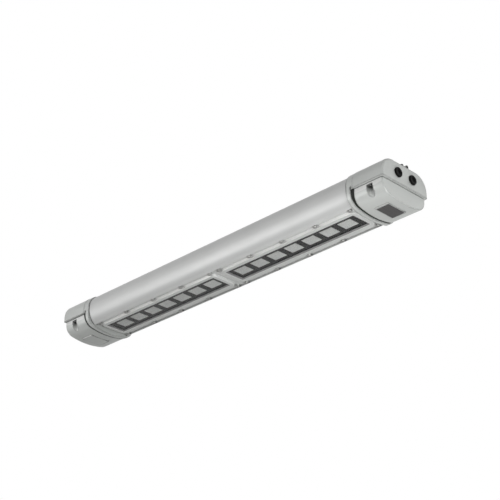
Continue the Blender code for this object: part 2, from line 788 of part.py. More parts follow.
def make_cover(name, finish, end):
    """The cast drop-down cover: a bowl with two screw pockets and a flat plate pad."""
    outline = cover_outline(0, cover_top)
    loops = [[(cover_inner_end(z), y, z) for y, z in outline]]
    for inset, setback in edge_rounding(COVER_EDGE_RADIUS):
        loops.append(along_x(cover_outline(inset, cover_top), cover_end_x - setback))
    bm = bmesh.new()
    loft_into(bm, [[(x - captive_x, y, z) for x, y, z in loop] for loop in loops])
    cover = place(name, bm, finish, end, (captive_x, 0, 0))
    bm = bmesh.new()
    inner = cover_outline(COVER_WALL, pocket_top)
    prism_x(bm, inner, collar_front_x - OVERRUN, cover_end_x - COVER_WALL)
    hollow = place(name + "_hollow", bm, None, end)
    bm = bmesh.new()
    mouth_y = cover_half_width - COVER_FLANGE_WIDTH
    mouth_x = (collar_front_x - OVERRUN, cover_end_x - COVER_FLANGE_WIDTH)
    box_into(bm, mouth_x, (-mouth_y, mouth_y), (pocket_top - COVER_WALL, cover_top + OVERRUN))
    combine(hollow, place(name + "_mouth", bm, None, end), "UNION")
    bm = bmesh.new()
    column = POCKET_WIDTH / 2 + POCKET_WALL
    for x, y in captive_places():
        prism_z(bm, circle(x, y, column, BOSS_SIDES), -COVER_DROP - OVERRUN, cover_top + 2 * OVERRUN)
    combine(hollow, place(name + "_columns", bm, None, end))
    combine(cover, hollow)
    bm = bmesh.new()
    pad_top = -COVER_DROP + COVER_WALL * PAD_ROOT_SHARE
    pad_x_range = (pad_x - PAD_LENGTH / 2, pad_x + PAD_LENGTH / 2)
    box_into(bm, pad_x_range, (-PAD_WIDTH / 2, PAD_WIDTH / 2), (pad_bottom, pad_top))
    combine(cover, place(name + "_pad", bm, None, end), "UNION")
    bm = bmesh.new()
    for x, y in captive_places():
        prism_z(bm, pocket_outline(x, y), -COVER_DROP - OVERRUN, pocket_top)
    combine(cover, place(name + "_pockets", bm, None, end))
    bm = bmesh.new()
    hole_radius = CAPTIVE_DIAMETER / 2 + CLEARANCE
    for x, y in captive_places():
        prism_z(bm, circle(x, y, hole_radius, SCREW_SIDES), pocket_top - OVERRUN, cover_top + OVERRUN)
    combine(cover, place(name + "_screw_holes", bm, None, end))
    return cover


def pocket_outline(x, y):
    """A slot round the screw's axis, open towards the cover's side."""
    side = 1 if y > 0 else -1
    radius = POCKET_WIDTH / 2
    outer = side * (cover_half_width + OVERRUN)
    inner = arc(x, y, radius, 0, -side * math.pi, BOSS_SIDES // 2)
    return inner + [(x - radius, outer), (x + radius, outer)]


def make_cover_seal(name, finish, end):
    """A flat seal inside the cover screws, in one piece with the end seal on the collar."""
    seal_bottom = -CLEARANCE - SEAL_THICKNESS
    inner_y = cover_half_width - COVER_FLANGE_WIDTH + SEAL_MARGIN
    inner_x = cover_end_x - COVER_FLANGE_WIDTH + SEAL_MARGIN
    outer_y = inner_y + SEAL_WIDTH
    outer_x = inner_x + SEAL_WIDTH
    back = collar_front_x + CLEARANCE
    start = back + SEAL_MARGIN
    outline = [(start, -outer_y), (outer_x, -outer_y), (outer_x, outer_y), (start, outer_y)]
    outline += [(start, inner_y), (inner_x, inner_y), (inner_x, -inner_y), (start, -inner_y)]
    bm = bmesh.new()
    prism_z(bm, outline, seal_bottom, -CLEARANCE)
    seal = place(name, bm, finish, end)
    outer = end_seal_half_outline(END_SEAL_STAND)
    inner = end_seal_half_outline(-COVER_FLANGE_WIDTH)
    section = mirrored(outer) + list(reversed(mirrored(inner)))
    front = [(cover_inner_end(z) - CLEARANCE, y, z) for y, z in section]
    bm = bmesh.new()
    loft_into(bm, [along_x(section, back), front])
    combine(seal, place(name + "_end", bm, None, end), "UNION")
    return seal


def end_seal_half_outline(stand):
    """Half of an edge of the end seal, standing out past the cover's sides but not its bottom."""
    half_width = cover_half_width + stand
    bottom_stand = min(stand, -SEAL_MARGIN)
    drop = COVER_DROP + bottom_stand
    half = lower_half_outline(half_width, drop, COVER_CORNER_RADIUS + stand, crown_radius + bottom_stand)
    return [(half_width, -CLEARANCE - SEAL_THICKNESS / 2)] + half


def make_captive_screws(side_name, finish, end):
    shank = (CAPTIVE_DIAMETER / 2, CAPTIVE_ENGAGEMENT - pocket_top - CLEARANCE)
    head = (CAPTIVE_HEAD_DIAMETER / 2, CAPTIVE_HEAD_HEIGHT)
    socket = (CAPTIVE_SOCKET_ACROSS_CORNERS / 2, CAPTIVE_SOCKET_DEPTH)
    for edge_name, (x, y) in zip(("a", "b"), captive_places()):
        name = f"captive_screw_{side_name}_{edge_name}"
        socket_screw(name, finish, end, (x, y, pocket_top - CLEARANCE), shank, head, socket, -1)


def make_blanking_plug(name, finish, end, side):
    """A hex-recess plug screwed into a cable entry, its origin on the entry's axis."""
    centre = (end_x, side * ENTRY_SPACING / 2, ENTRY_RISE)
    seat = WASHER_THICKNESS + 2 * CLEARANCE
    face = seat + PLUG_HEAD_THICKNESS
    thread = ENTRY_DIAMETER / 2 - CLEARANCE
    head = PLUG_HEAD_DIAMETER / 2
    profile = [
        (thread, seat - PLUG_LENGTH),
        (thread, seat),
        (head, seat),
        (head, face - PLUG_EDGE),
        (head - PLUG_EDGE, face),
    ]
    bm = bmesh.new()
    turned_into(bm, profile, ENTRY_SIDES, "X")
    plug = place(name, bm, finish, end, centre)
    bm = bmesh.new()
    recess = PLUG_RECESS_ACROSS_CORNERS / 2
    turned_into(bm, [(recess, face - PLUG_RECESS_DEPTH), (recess, face + OVERRUN)], HEX_SIDES, "X")
    combine(plug, place(name + "_recess", bm, None, end, centre))
    return plug


def make_plug_washer(name, finish, end, side):
    centre = (end_x, side * ENTRY_SPACING / 2, ENTRY_RISE)
    inner = ENTRY_DIAMETER / 2
    outer = WASHER_DIAMETER / 2
    rings = []
    for radius, x in ((inner, 0), (outer, 0), (outer, WASHER_THICKNESS), (inner, WASHER_THICKNESS)):
        rings.append([(CLEARANCE + x, y, z) for y, z in circle(0, 0, radius, ENTRY_SIDES)])
    bm = bmesh.new()
    loft_into(bm, rings, closed=True)
    return place(name, bm, finish, end, centre)


def make_rating_plate(name, finish, end):
    bm = bmesh.new()
    top = pad_bottom - CLEARANCE
    outline = rounded_rectangle(PLATE_LENGTH / 2, PLATE_WIDTH / 2, PLATE_THICKNESS, 2)
    prism_z(bm, outline, top - PLATE_THICKNESS, top)
    return place(name, bm, finish, end, (pad_x, 0, 0))


def make_earth_terminal(clamp_finish, screw_finish, end):
    """A strip under the earth screw that loops over the conductor beside it."""
    seat = HOUSING_RISE + CLEARANCE
    strip = EARTH_STRIP_THICKNESS
    radius = EARTH_LOOP_RADIUS
    loop_y = EARTH_LOOP_DISTANCE
    outer_arc = arc(loop_y, seat + radius, radius + strip, math.pi, 0, CORNER_STEPS)
    inner_arc = arc(loop_y, seat + radius, radius, 0, math.pi, CORNER_STEPS)
    section = [(-EARTH_STRIP_TAIL, seat), (-EARTH_STRIP_TAIL, seat + strip)]
    section += [(loop_y - radius - strip, seat + strip)] + outer_arc
    section += [(loop_y + radius + strip, seat), (loop_y + radius, seat)] + inner_arc
    section += [(loop_y - radius, seat)]
    centre_x = end_x - EARTH_OFFSET
    half = EARTH_STRIP_WIDTH / 2
    bm = bmesh.new()
    prism_x(bm, section, centre_x - half, centre_x + half)
    clamp = place("earth_clamp", bm, clamp_finish, end)
    bm = bmesh.new()
    hole = circle(centre_x, 0, EARTH_SCREW_DIAMETER / 2 + CLEARANCE, SCREW_SIDES)
    prism_z(bm, hole, seat - OVERRUN, seat + strip + OVERRUN)
    combine(clamp, place("earth_clamp_hole", bm, None, end))
    head_seat = seat + strip + CLEARANCE
    shank_radius = EARTH_SCREW_DIAMETER / 2
    head_radius = EARTH_HEAD_DIAMETER / 2
    shank_loops = [circle(0, 0, shank_radius, HEX_SIDES * 2)] * 2
    head_loop = hexagon_as_ring(head_radius)
    levels = (-EARTH_ENGAGEMENT - strip - CLEARANCE, 0, 0, EARTH_HEAD_HEIGHT)
    loops = [along_z(outline, z) for outline, z in zip(shank_loops + [head_loop] * 2, levels)]
    bm = bmesh.new()
    loft_into(bm, loops)
    return place("earth_screw", bm, screw_finish, end, (centre_x, 0, head_seat))


def hexagon_as_ring(radius):
    """A hexagon with a point at each corner and at the middle of each side."""
    corners = circle(0, 0, radius, HEX_SIDES)
    points = []
    for index, corner in enumerate(corners):
        following = corners[(index + 1) % HEX_SIDES]
        points += [corner, ((corner[0] + following[0]) / 2, (corner[1] + following[1]) / 2)]
    return points


def make_tie_rod(name, finish, fixture, side):
    """A rod through both partitions, with its two nuts drawn tight against them."""
    rod = ROD_DIAMETER / 2
    nut = ROD_NUT_ACROSS_CORNERS / 2
    seat = collar_front_x + 2 * CLEARANCE
    outline = {rod: circle(0, 0, rod, HEX_SIDES * 2), nut: hexagon_as_ring(nut)}
    end = seat + ROD_NUT_HEIGHT
    tip = end + ROD_DIAMETER * ROD_TIP_SHARE
    stations = [(rod, -tip), (rod, -end), (nut, -end), (nut, -seat), (rod, -seat)]
    stations += [(rod, seat), (nut, seat), (nut, end), (rod, end), (rod, tip)]
    bm = bmesh.new()
    loft_into(bm, [along_x(outline[radius], x) for radius, x in stations])
    return place(name, bm, finish, fixture, (0, side * rod_y, ROD_RISE))


def make_gear_tray(finish, fixture):
    half_y = tray_half_width
    floor = -GEAR_FLOOR_DROP + CLEARANCE
    inner = half_y - TRAY_THICKNESS
    section = [(half_y, floor), (half_y, floor + TRAY_FLANGE), (inner, floor + TRAY_FLANGE)]
    section.append((inner, floor + TRAY_THICKNESS))
    bm = bmesh.new()
    prism_x(bm, mirrored(section), -tray_half_length, tray_half_length)
    return place("gear_tray", bm, finish, fixture)


def make_driver(name, finish, fixture, side):
    """The LED driver's case on the gear tray, with a fixing foot at each end."""
    base = -GEAR_FLOOR_DROP + TRAY_THICKNESS + 2 * CLEARANCE
    half_x = DRIVER_LENGTH / 2
    half_y = DRIVER_WIDTH / 2
    edge = DRIVER_EDGE
    top = base + DRIVER_HEIGHT
    section = [(half_y, base), (half_y, top - edge), (half_y - edge, top)]
    bm = bmesh.new()
    prism_x(bm, mirrored(section), -half_x, half_x)
    driver = place(name, bm, finish, fixture, (side * driver_x, 0, 0))
    bm = bmesh.new()
    foot_x = half_x + DRIVER_FOOT_LENGTH
    foot_y = half_y - 2 * edge
    box_into(bm, (-foot_x, foot_x), (-foot_y, foot_y), (base, base + DRIVER_FOOT_THICKNESS))
    feet = place(name + "_feet", bm, None, fixture, (side * driver_x, 0, 0))
    combine(driver, feet, "UNION")
    return driver


def lead_route(start, end):
    """A lead that leaves both ends straight along X and eases across between them."""
    points = []
    for step in range(LEAD_STEPS + 1):
        share = step / LEAD_STEPS
        eased = share * share * (3 - 2 * share)
        x = start[0] + (end[0] - start[0]) * share
        z = start[1] + (end[1] - start[1]) * eased
        points.append((x, z))
    return points


def make_line_bushing(name, finish, end):
    """A potted bushing screwed through the partition, cast in one with its leads."""
    head_back = collar_front_x + 2 * CLEARANCE
    nose = collar_front_x - PARTITION_THICKNESS - BUSHING_NOSE
    body = BUSHING_DIAMETER / 2
    lead = LEAD_DIAMETER / 2
    head = BUSHING_HEAD_ACROSS_CORNERS / 2
    head_front = head_back + BUSHING_HEAD_HEIGHT
    block_back = collar_front_x + BLOCK_OFFSET - BLOCK_LENGTH / 2
    lead_end = driver_x + DRIVER_LENGTH / 2 + CLEARANCE
    ring = HEX_SIDES * 2
    loops = []
    for x, z in lead_route((lead_end, LEAD_RISE_AT_DRIVER), (nose - LEAD_BEND, BUSHING_RISE)):
        loops.append([(x, y, z + b) for y, b in circle(0, 0, lead, ring)])
    for radius, x in ((lead, nose), (body, nose), (body, head_back)):
        loops.append([(x, y, BUSHING_RISE + b) for y, b in circle(0, 0, radius, ring)])
    for x in (head_back, head_front):
        loops.append([(x, y, BUSHING_RISE + b) for y, b in hexagon_as_ring(head)])
    for x in (head_front, block_back - CLEARANCE):
        loops.append([(x, y, BUSHING_RISE + b) for y, b in circle(0, 0, lead, ring)])
    bm = bmesh.new()
    loft_into(bm, loops)
    return place(name, bm, finish, end)


def make_terminal_block(name, finish, end):
    """A terminal strip hung from the housing's roof, its screw wells open downwards."""
    roof = HOUSING_RISE - HOUSING_WALL - CLEARANCE
    bottom = roof - BLOCK_HEIGHT
    half_x = BLOCK_LENGTH / 2
    half_y = BLOCK_WIDTH / 2
    edge = BLOCK_EDGE
    loops = []
    for inset, z in ((edge, bottom), (0, bottom + edge), (0, roof)):
        outline = rounded_rectangle(half_x - inset, half_y - inset, edge, 1)
        loops.append(along_z(outline, z))
    centre = (collar_front_x + BLOCK_OFFSET, 0, 0)
    bm = bmesh.new()
    loft_into(bm, loops)
    block = place(name, bm, finish, end, centre)
    bm = bmesh.new()
    pitch = BLOCK_WIDTH / BLOCK_WAYS
    for way in range(BLOCK_WAYS):
        y = (way - (BLOCK_WAYS - 1) / 2) * pitch
        for x in (-half_x / 2, half_x / 2):
            well = circle(x, y, BLOCK_WELL_DIAMETER / 2, WELL_SIDES)
            prism_z(bm, well, bottom - OVERRUN, bottom + BLOCK_WELL_DEPTH)
    combine(block, place(name + "_wells", bm, None, end, centre))
    return block


def make_finishes():
    finishes = {
        "casting_paint": ((0.56, 0.57, 0.55), 0.5, 0.0),
        "body_paint": ((0.6, 0.6, 0.6), 0.42, 0.0),
        "glass": ((0.82, 0.86, 0.86), 0.05, 0.0),
        "black_rubber": ((0.02, 0.02, 0.02), 0.7, 0.0),
        "grey_silicone": ((0.14, 0.14, 0.14), 0.6, 0.0),
        "black_mask": ((0.015, 0.015, 0.015), 0.5, 0.0),
        "lens_plastic": ((0.42, 0.42, 0.4), 0.3, 0.0),
        "board": ((0.7, 0.7, 0.68), 0.5, 0.0),
        "stainless": ((0.55, 0.55, 0.54), 0.35, 1.0),
        "black_plastic": ((0.012, 0.012, 0.012), 0.45, 0.0),
        "plate_grey": ((0.09, 0.088, 0.088), 0.4, 0.3),
        "zinc": ((0.6, 0.6, 0.6), 0.4, 1.0),
        "driver_case": ((0.72, 0.72, 0.72), 0.4, 1.0),
        "block_grey": ((0.35, 0.36, 0.37), 0.5, 0.0),
    }
    return {name: material(name, *values) for name, values in finishes.items()}


def build():
    remove_everything()
    finish = make_finishes()
    fixture = empty("fixture", None, (0, 0, -CEILING_FACE_RISE))
    make_body(finish["body_paint"], fixture)
    make_gear_tray(finish["zinc"], fixture)
    for rod_name, side in (("tie_rod_a", -1), ("tie_rod_b", 1)):
        make_tie_rod(rod_name, finish["zinc"], fixture, side)
    for side_name, side in (("right", 1), ("left", -1)):
        window = empty(side_name + "_window", fixture, (side * window_x, 0, 0))
        make_window_frame("window_frame_" + side_name, finish["casting_paint"], window)
        make_window_gasket("window_gasket_" + side_name, finish["grey_silicone"], window)
        make_window_glass("window_glass_" + side_name, finish["glass"], window)
        row = empty(side_name + "_optic_row", window, (-side * OPTIC_ROW_SHIFT, 0, 0))
        make_bezel("led_bezel_" + side_name, finish["black_mask"], window, row)
        make_optic_strip("optic_strip_" + side_name, finish["lens_plastic"], row)
        make_led_board("led_board_" + side_name, finish["board"], row)
        make_frame_screws(side_name, finish["stainless"], window)
        make_driver("led_driver_" + side_name, finish["driver_case"], fixture, side)
        turn = 0 if side > 0 else math.pi
        end = empty(side_name + "_end", fixture, (0, 0, 0), turn)
        make_housing("terminal_housing_" + side_name, finish["casting_paint"], end, side > 0)
        make_cover_seal("cover_seal_" + side_name, finish["black_rubber"], end)
        make_cover("terminal_cover_" + side_name, finish["casting_paint"], end)
        make_captive_screws(side_name, finish["stainless"], end)
        make_line_bushing("line_bushing_" + side_name, finish["black_plastic"], end)
        make_terminal_block("terminal_block_" + side_name, finish["block_grey"], end)
        if side > 0:
            for edge_name, edge in (("a", -1), ("b", 1)):
                make_blanking_plug("blanking_plug_" + edge_name, finish["black_plastic"], end, edge)
                make_plug_washer("plug_washer_" + edge_name, finish["black_rubber"], end, edge)
            make_rating_plate("rating_plate", finish["plate_grey"], end)
            make_earth_terminal(finish["stainless"], finish["stainless"], end)


build()
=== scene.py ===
import math
import bmesh
import bpy
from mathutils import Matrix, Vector


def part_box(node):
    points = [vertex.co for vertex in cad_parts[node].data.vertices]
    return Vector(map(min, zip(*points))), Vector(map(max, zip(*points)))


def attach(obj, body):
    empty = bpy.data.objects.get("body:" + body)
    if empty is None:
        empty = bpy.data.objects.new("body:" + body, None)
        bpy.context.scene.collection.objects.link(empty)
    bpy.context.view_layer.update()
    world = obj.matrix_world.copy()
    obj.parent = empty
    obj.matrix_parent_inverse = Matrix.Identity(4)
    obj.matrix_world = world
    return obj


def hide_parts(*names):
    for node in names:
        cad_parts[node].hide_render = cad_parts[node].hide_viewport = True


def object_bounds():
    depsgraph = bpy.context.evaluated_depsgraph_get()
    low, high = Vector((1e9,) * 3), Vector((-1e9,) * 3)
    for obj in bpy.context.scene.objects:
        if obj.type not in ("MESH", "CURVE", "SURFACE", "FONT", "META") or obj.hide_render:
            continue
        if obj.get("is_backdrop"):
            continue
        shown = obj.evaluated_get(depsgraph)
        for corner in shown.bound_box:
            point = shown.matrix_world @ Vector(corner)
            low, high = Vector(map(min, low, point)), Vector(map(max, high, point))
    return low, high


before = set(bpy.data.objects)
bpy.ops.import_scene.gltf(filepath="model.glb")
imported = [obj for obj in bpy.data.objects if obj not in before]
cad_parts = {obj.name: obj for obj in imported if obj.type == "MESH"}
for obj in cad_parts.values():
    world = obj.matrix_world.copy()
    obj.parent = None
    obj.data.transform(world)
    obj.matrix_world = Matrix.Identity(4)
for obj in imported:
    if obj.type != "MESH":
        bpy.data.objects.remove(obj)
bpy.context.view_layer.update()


# Body extrusion
# One long aluminium extrusion with a rounded top, two lower lips and a flat fixing spine, sawn
# to length and powder coated light grey. Both end housings are clamped onto its sawn ends.
BODY_GREY = (0.56, 0.565, 0.56)
BODY_GREY_SHADE = (0.5, 0.505, 0.5)
# Lighter colour used as a painted highlight on the body's edges and the covers' side walls
PAINTED_HIGHLIGHT = (0.7, 0.7, 0.69)
# Colour of the painted shade that darkens the recesses of the body, frames and housings
RECESS_SHADE = (0.13, 0.135, 0.13)
# Colour of the painted shade round the body's sawn ends, where they meet the collars
END_SHADE = (0.06, 0.062, 0.06)
BODY_EDGE = 0.0005
END_SHADE_START = 0.5238
END_SHADE_FULL = 0.5244
SPINE_FOOT = -0.016
SPINE_FOOT_BLUR = 0.0005
DRAW_LINES = (3, 620, 620)
SMOOTH_LIMIT = math.radians(34)
SAME_PLANE_LIMIT = math.radians(0.6)
SAME_POINT = 0.000002


def new_finish(name, colour, roughness=0.5, metallic=0.0, specular=0.5):
    finish = bpy.data.materials.new(name)
    finish.use_nodes = True
    shader = finish.node_tree.nodes["Principled BSDF"]
    shader.inputs["Base Color"].default_value = (*colour, 1)
    shader.inputs["Roughness"].default_value = roughness
    shader.inputs["Metallic"].default_value = metallic
    shader.inputs["Specular IOR Level"].default_value = specular
    return finish


def add_node(finish, kind, **fields):
    node = finish.node_tree.nodes.new("ShaderNode" + kind)
    for field, value in fields.items():
        setattr(node, field, value)
    return node


def wire(finish, start, end):
    finish.node_tree.links.new(start, end)


def socket(finish, name):
    return finish.node_tree.nodes["Principled BSDF"].inputs[name]


def combined(finish, operation, first, second):
    both = add_node(finish, "Math", operation=operation)
    wire(finish, first, both.inputs[0])
    wire(finish, second, both.inputs[1])
    return both.outputs["Value"]


def grain(finish, cells, detail, stretch=(1, 1, 1)):
    """Noise held by the piece itself, with so many cells to the metre along each axis."""
    coordinates = add_node(finish, "TexCoord")
    mapping = add_node(finish, "Mapping")
    mapping.inputs["Scale"].default_value = stretch
    noise = add_node(finish, "TexNoise")
    noise.inputs["Scale"].default_value = cells
    noise.inputs["Detail"].default_value = detail
    wire(finish, coordinates.outputs["Object"], mapping.inputs["Vector"])
    wire(finish, mapping.outputs["Vector"], noise.inputs["Vector"])
    return noise.outputs["Fac"]


def eased(finish, value, start, full, first=0, last=1):
    """Goes evenly from the first number to the last while the value goes from start to full."""
    spread = add_node(finish, "MapRange")
    for name, number in (("From Min", start), ("From Max", full), ("To Min", first), ("To Max", last)):
        spread.inputs[name].default_value = number
    wire(finish, value, spread.inputs["Value"])
    return spread.outputs["Result"]


def tint(finish, factor, colour):
    """Lays a second colour over what the base colour already is, where the factor is high."""
    mix = add_node(finish, "Mix", data_type="RGBA")
    base = socket(finish, "Base Color")
    if base.is_linked:
        wire(finish, base.links[0].from_socket, mix.inputs[6])
    else:
        mix.inputs[6].default_value = base.default_value
    mix.inputs[7].default_value = (*colour, 1)
    wire(finish, factor, mix.inputs[0])
    wire(finish, mix.outputs[2], base)


def mottle(finish, colour, cells, detail, start, full, amount, stretch=(1, 1, 1)):
    """Clouds or specks of a second colour, wherever the grain is above its start."""
    tint(finish, eased(finish, grain(finish, cells, detail, stretch), start, full, last=amount), colour)


def uneven_gloss(finish, cells, detail, smoothest, roughest):
    patches = grain(finish, cells, detail)
    roughness = eased(finish, patches, start=0.3, full=0.7, first=smoothest, last=roughest)
    wire(finish, roughness, socket(finish, "Roughness"))


def relief(finish, cells, detail, depth, stretch=(1, 1, 1)):
    """Adds a fine height pattern of a depth in metres on top of the ones before it."""
    height = grain(finish, cells, detail, stretch)
    bump = add_node(finish, "Bump")
    bump.inputs["Distance"].default_value = depth
    normal = socket(finish, "Normal")
    if normal.is_linked:
        wire(finish, normal.links[0].from_socket, bump.inputs["Normal"])
    wire(finish, height, bump.inputs["Height"])
    wire(finish, bump.outputs["Normal"], normal)


def painted_edge_light(finish, colour, width, full, amount):
    """Painted light along the edges, in uneven stretches: a lighter colour makes a painted highlight, a
    darker one a painted dark reflection.
    """
    rounded = add_node(finish, "Bevel", samples=4)
    rounded.inputs["Radius"].default_value = width
    surface = add_node(finish, "NewGeometry")
    compare = add_node(finish, "VectorMath", operation="DOT_PRODUCT")
    wire(finish, rounded.outputs["Normal"], compare.inputs[0])
    wire(finish, surface.outputs["Normal"], compare.inputs[1])
    edge = eased(finish, compare.outputs["Value"], start=0.997, full=full, last=amount)
    patches = eased(finish, grain(finish, cells=130, detail=3), start=0.35, full=0.65, first=0.45)
    tint(finish, combined(finish, "MULTIPLY", edge, patches), colour)


def painted_recess_shade(finish, colour, reach, start, full, amount):
    """Painted shade: darkens grooves, pockets and corners by how enclosed they are."""
    hollow = add_node(finish, "AmbientOcclusion", samples=6)
    hollow.inputs["Distance"].default_value = reach
    tint(finish, eased(finish, hollow.outputs["AO"], start, full, last=amount), colour)


def powder_coat(name, colour, shade, peel, peel_depth, gloss=(0.38, 0.48), wave=0.0001):
    """Baked powder paint: clouded and specked in a shade, a little wavy, with a fine peel."""
    finish = new_finish(name, colour, metallic=0.2)
    mottle(finish, shade, cells=7, detail=3, start=0.35, full=0.7, amount=0.6)
    mottle(finish, shade, cells=1500, detail=1, start=0.62, full=0.75, amount=0.35)
    uneven_gloss(finish, cells=55, detail=3, smoothest=gloss[0], roughest=gloss[1])
    relief(finish, cells=40, detail=2, depth=wave)
    relief(finish, cells=peel, detail=2, depth=peel_depth)
    return finish


def painted_end_shade(finish, colour, amount):
    """Painted shade: a dark band round both sawn ends, below the spine, for the shadow gap at the
    collars.
    """
    coordinates = add_node(finish, "TexCoord")
    axes = add_node(finish, "SeparateXYZ")
    from_middle = add_node(finish, "Math", operation="ABSOLUTE")
    wire(finish, coordinates.outputs["Object"], axes.inputs["Vector"])
    wire(finish, axes.outputs["X"], from_middle.inputs[0])
    height = axes.outputs["Z"]
    below_spine = eased(finish, height, SPINE_FOOT, SPINE_FOOT + SPINE_FOOT_BLUR, first=1, last=0)
    at_end = eased(finish, from_middle.outputs["Value"], END_SHADE_START, END_SHADE_FULL, last=amount)
    tint(finish, combined(finish, "MULTIPLY", at_end, below_spine), colour)


def dressed(node, body, finish, edge, segments=2):
    """A copy of a CAD node with its edges broken, shown for that node in its real finish."""
    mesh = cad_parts[node].data.copy()
    bm = bmesh.new()
    bm.from_mesh(mesh)
    bmesh.ops.remove_doubles(bm, verts=bm.verts, dist=SAME_POINT)
    bmesh.ops.dissolve_limit(bm, angle_limit=SAME_PLANE_LIMIT, verts=bm.verts, edges=bm.edges)
    for face in bm.faces:
        face.smooth = True
    bm.to_mesh(mesh)
    bm.free()
    if mesh.attributes.get("custom_normal"):
        mesh.attributes.remove(mesh.attributes["custom_normal"])
    mesh.materials.clear()
    mesh.materials.append(finish)
    mesh.set_sharp_from_angle(angle=SMOOTH_LIMIT)
    piece = bpy.data.objects.new(node + "_finished", mesh)
    bpy.context.scene.collection.objects.link(piece)
    corner = piece.modifiers.new("broken_edges", "BEVEL")
    corner.limit_method = "ANGLE"
    corner.angle_limit = SMOOTH_LIMIT
    corner.width = edge
    corner.segments = segments
    corner.harden_normals = True
    corner.use_clamp_overlap = True
    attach(piece, body)
    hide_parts(node)


body_coat = powder_coat(
    "body_coat", BODY_GREY, BODY_GREY_SHADE,
    peel=900, peel_depth=0.000012, gloss=(0.41, 0.45), wave=0.00002,
)
# Painted shade in the body's grooves and recesses
painted_recess_shade(body_coat, RECESS_SHADE, reach=0.006, start=0.85, full=0.4, amount=0.8)
# Painted highlight along the body's edges
painted_edge_light(body_coat, PAINTED_HIGHLIGHT, width=0.0014, full=0.88, amount=0.7)
# Painted shade at both ends, where the body meets the collars
painted_end_shade(body_coat, END_SHADE, amount=0.95)
relief(body_coat, cells=1, detail=2, depth=0.000008, stretch=DRAW_LINES)
dressed("body_extrusion", "luminaire", body_coat, BODY_EDGE)


# Gear tray and tie rods
# A folded zinc-plated steel tray slides into the body with the drivers on it, and two plated
# steel rods run the whole length and clamp the end housings onto the body with a nut at each end.
ZINC = (0.58, 0.59, 0.6)
ZINC_DULL = (0.44, 0.45, 0.47)
PLATED_EDGE = 0.0003


def plated_steel(name, colour, dull):
    finish = new_finish(name, colour, metallic=0.95)
    mottle(finish, dull, cells=90, detail=4, start=0.4, full=0.65, amount=0.7)
    uneven_gloss(finish, cells=220, detail=3, smoothest=0.26, roughest=0.46)
    relief(finish, cells=700, detail=2, depth=0.00001)
    return finish


zinc_plate = plated_steel("zinc_plate", ZINC, ZINC_DULL)
for name in ("gear_tray", "tie_rod_a", "tie_rod_b"):
    dressed(name, "luminaire", zinc_plate, PLATED_EDGE, segments=1)


# LED drivers
# Each driver is a drawn aluminium case filled with potting compound, with a fixing foot at each
# end that is screwed to the tray. Its brushed skin is left bare.
DRIVER_SKIN = (0.62, 0.62, 0.63)
DRIVER_STREAK = (0.48, 0.48, 0.5)
DRIVER_EDGE = 0.0006
STREAK_LINES = (25, 900, 900)
BRUSH_LINES = (25, 1200, 1200)

driver_skin = new_finish("driver_skin", DRIVER_SKIN, roughness=0.4, metallic=0.95)
mottle(
    driver_skin, DRIVER_STREAK,
    cells=1, detail=3, start=0.35, full=0.65, amount=0.5, stretch=STREAK_LINES,
)
relief(driver_skin, cells=1, detail=2, depth=0.000012, stretch=BRUSH_LINES)
for side in ("right", "left"):
    dressed("led_driver_" + side, "luminaire", driver_skin, DRIVER_EDGE)


# LED boards
# Metal-core boards with white solder mask, held up in the channel of the body by the lens strips,
# with one LED package behind each lens block.
SOLDER_MASK = (0.72, 0.72, 0.7)
SOLDER_MASK_SHADE = (0.6, 0.6, 0.57)
BOARD_EDGE = 0.0002

board_mask = new_finish("board_mask", SOLDER_MASK, roughness=0.38)
mottle(board_mask, SOLDER_MASK_SHADE, cells=300, detail=2, start=0.55, full=0.7, amount=0.25)
relief(board_mask, cells=1100, detail=1, depth=0.000008)
for side in ("right", "left"):
    dressed("led_board_" + side, "luminaire", board_mask, BOARD_EDGE, segments=1)


# Lens strips
# One moulded strip for each window: a floor with a wall along both sides, and seven rectangular
# lens blocks that stand out below the floor. The lower face of each block is a field of small
# domed lenslets, which gives the grey, sparkling squares.
LENS_GREY = (0.92, 0.92, 0.9)
LENS_DARK = (0.78, 0.78, 0.77)
LENS_COUNT = 7
LENS_PITCH = 0.065
LENS_HALF = (0.022, 0.018)
LENS_HEIGHT = 0.0014
LENSLET_PITCH = 0.004
LENSLET_DEPTH = 0.0007
LENSLET_STEPS = 4
LENS_SMOOTH_LIMIT = math.radians(60)
STRIP_FLOOR_BOTTOM = 0.0005
STRIP_FLOOR_TOP = 0.0025
STRIP_WALL = 0.002
STRIP_WALL_GAP = 0.0001


def box_into(bm, low, high):
    corners = []
    for z in (low[2], high[2]):
        for y in (low[1], high[1]):
            for x in (low[0], high[0]):
                corners.append(bm.verts.new((x, y, z)))
    for ring in ((0, 2, 3, 1), (4, 5, 7, 6), (0, 1, 5, 4), (2, 6, 7, 3), (0, 4, 6, 2), (1, 3, 7, 5)):
        bm.faces.new([corners[i] for i in ring])


def skin_into(bm, loops):
    """A wall of faces from each loop of points to the next."""
    for first, second in zip(loops, loops[1:]):
        for n in range(len(first)):
            after = (n + 1) % len(first)
            bm.faces.new((first[n], first[after], second[after], second[n]))


def piece_from(bm, name, finish, limit=SMOOTH_LIMIT):
    mesh = bpy.data.meshes.new(name)
    bmesh.ops.recalc_face_normals(bm, faces=bm.faces)
    for face in bm.faces:
        face.smooth = True
    bm.to_mesh(mesh)
    bm.free()
    mesh.set_sharp_from_angle(angle=limit)
    mesh.materials.append(finish)
    piece = bpy.data.objects.new(name, mesh)
    bpy.context.scene.collection.objects.link(piece)
    return piece


def hang(piece, body, slot, *nodes):
    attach(piece, body)
    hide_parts(*nodes)


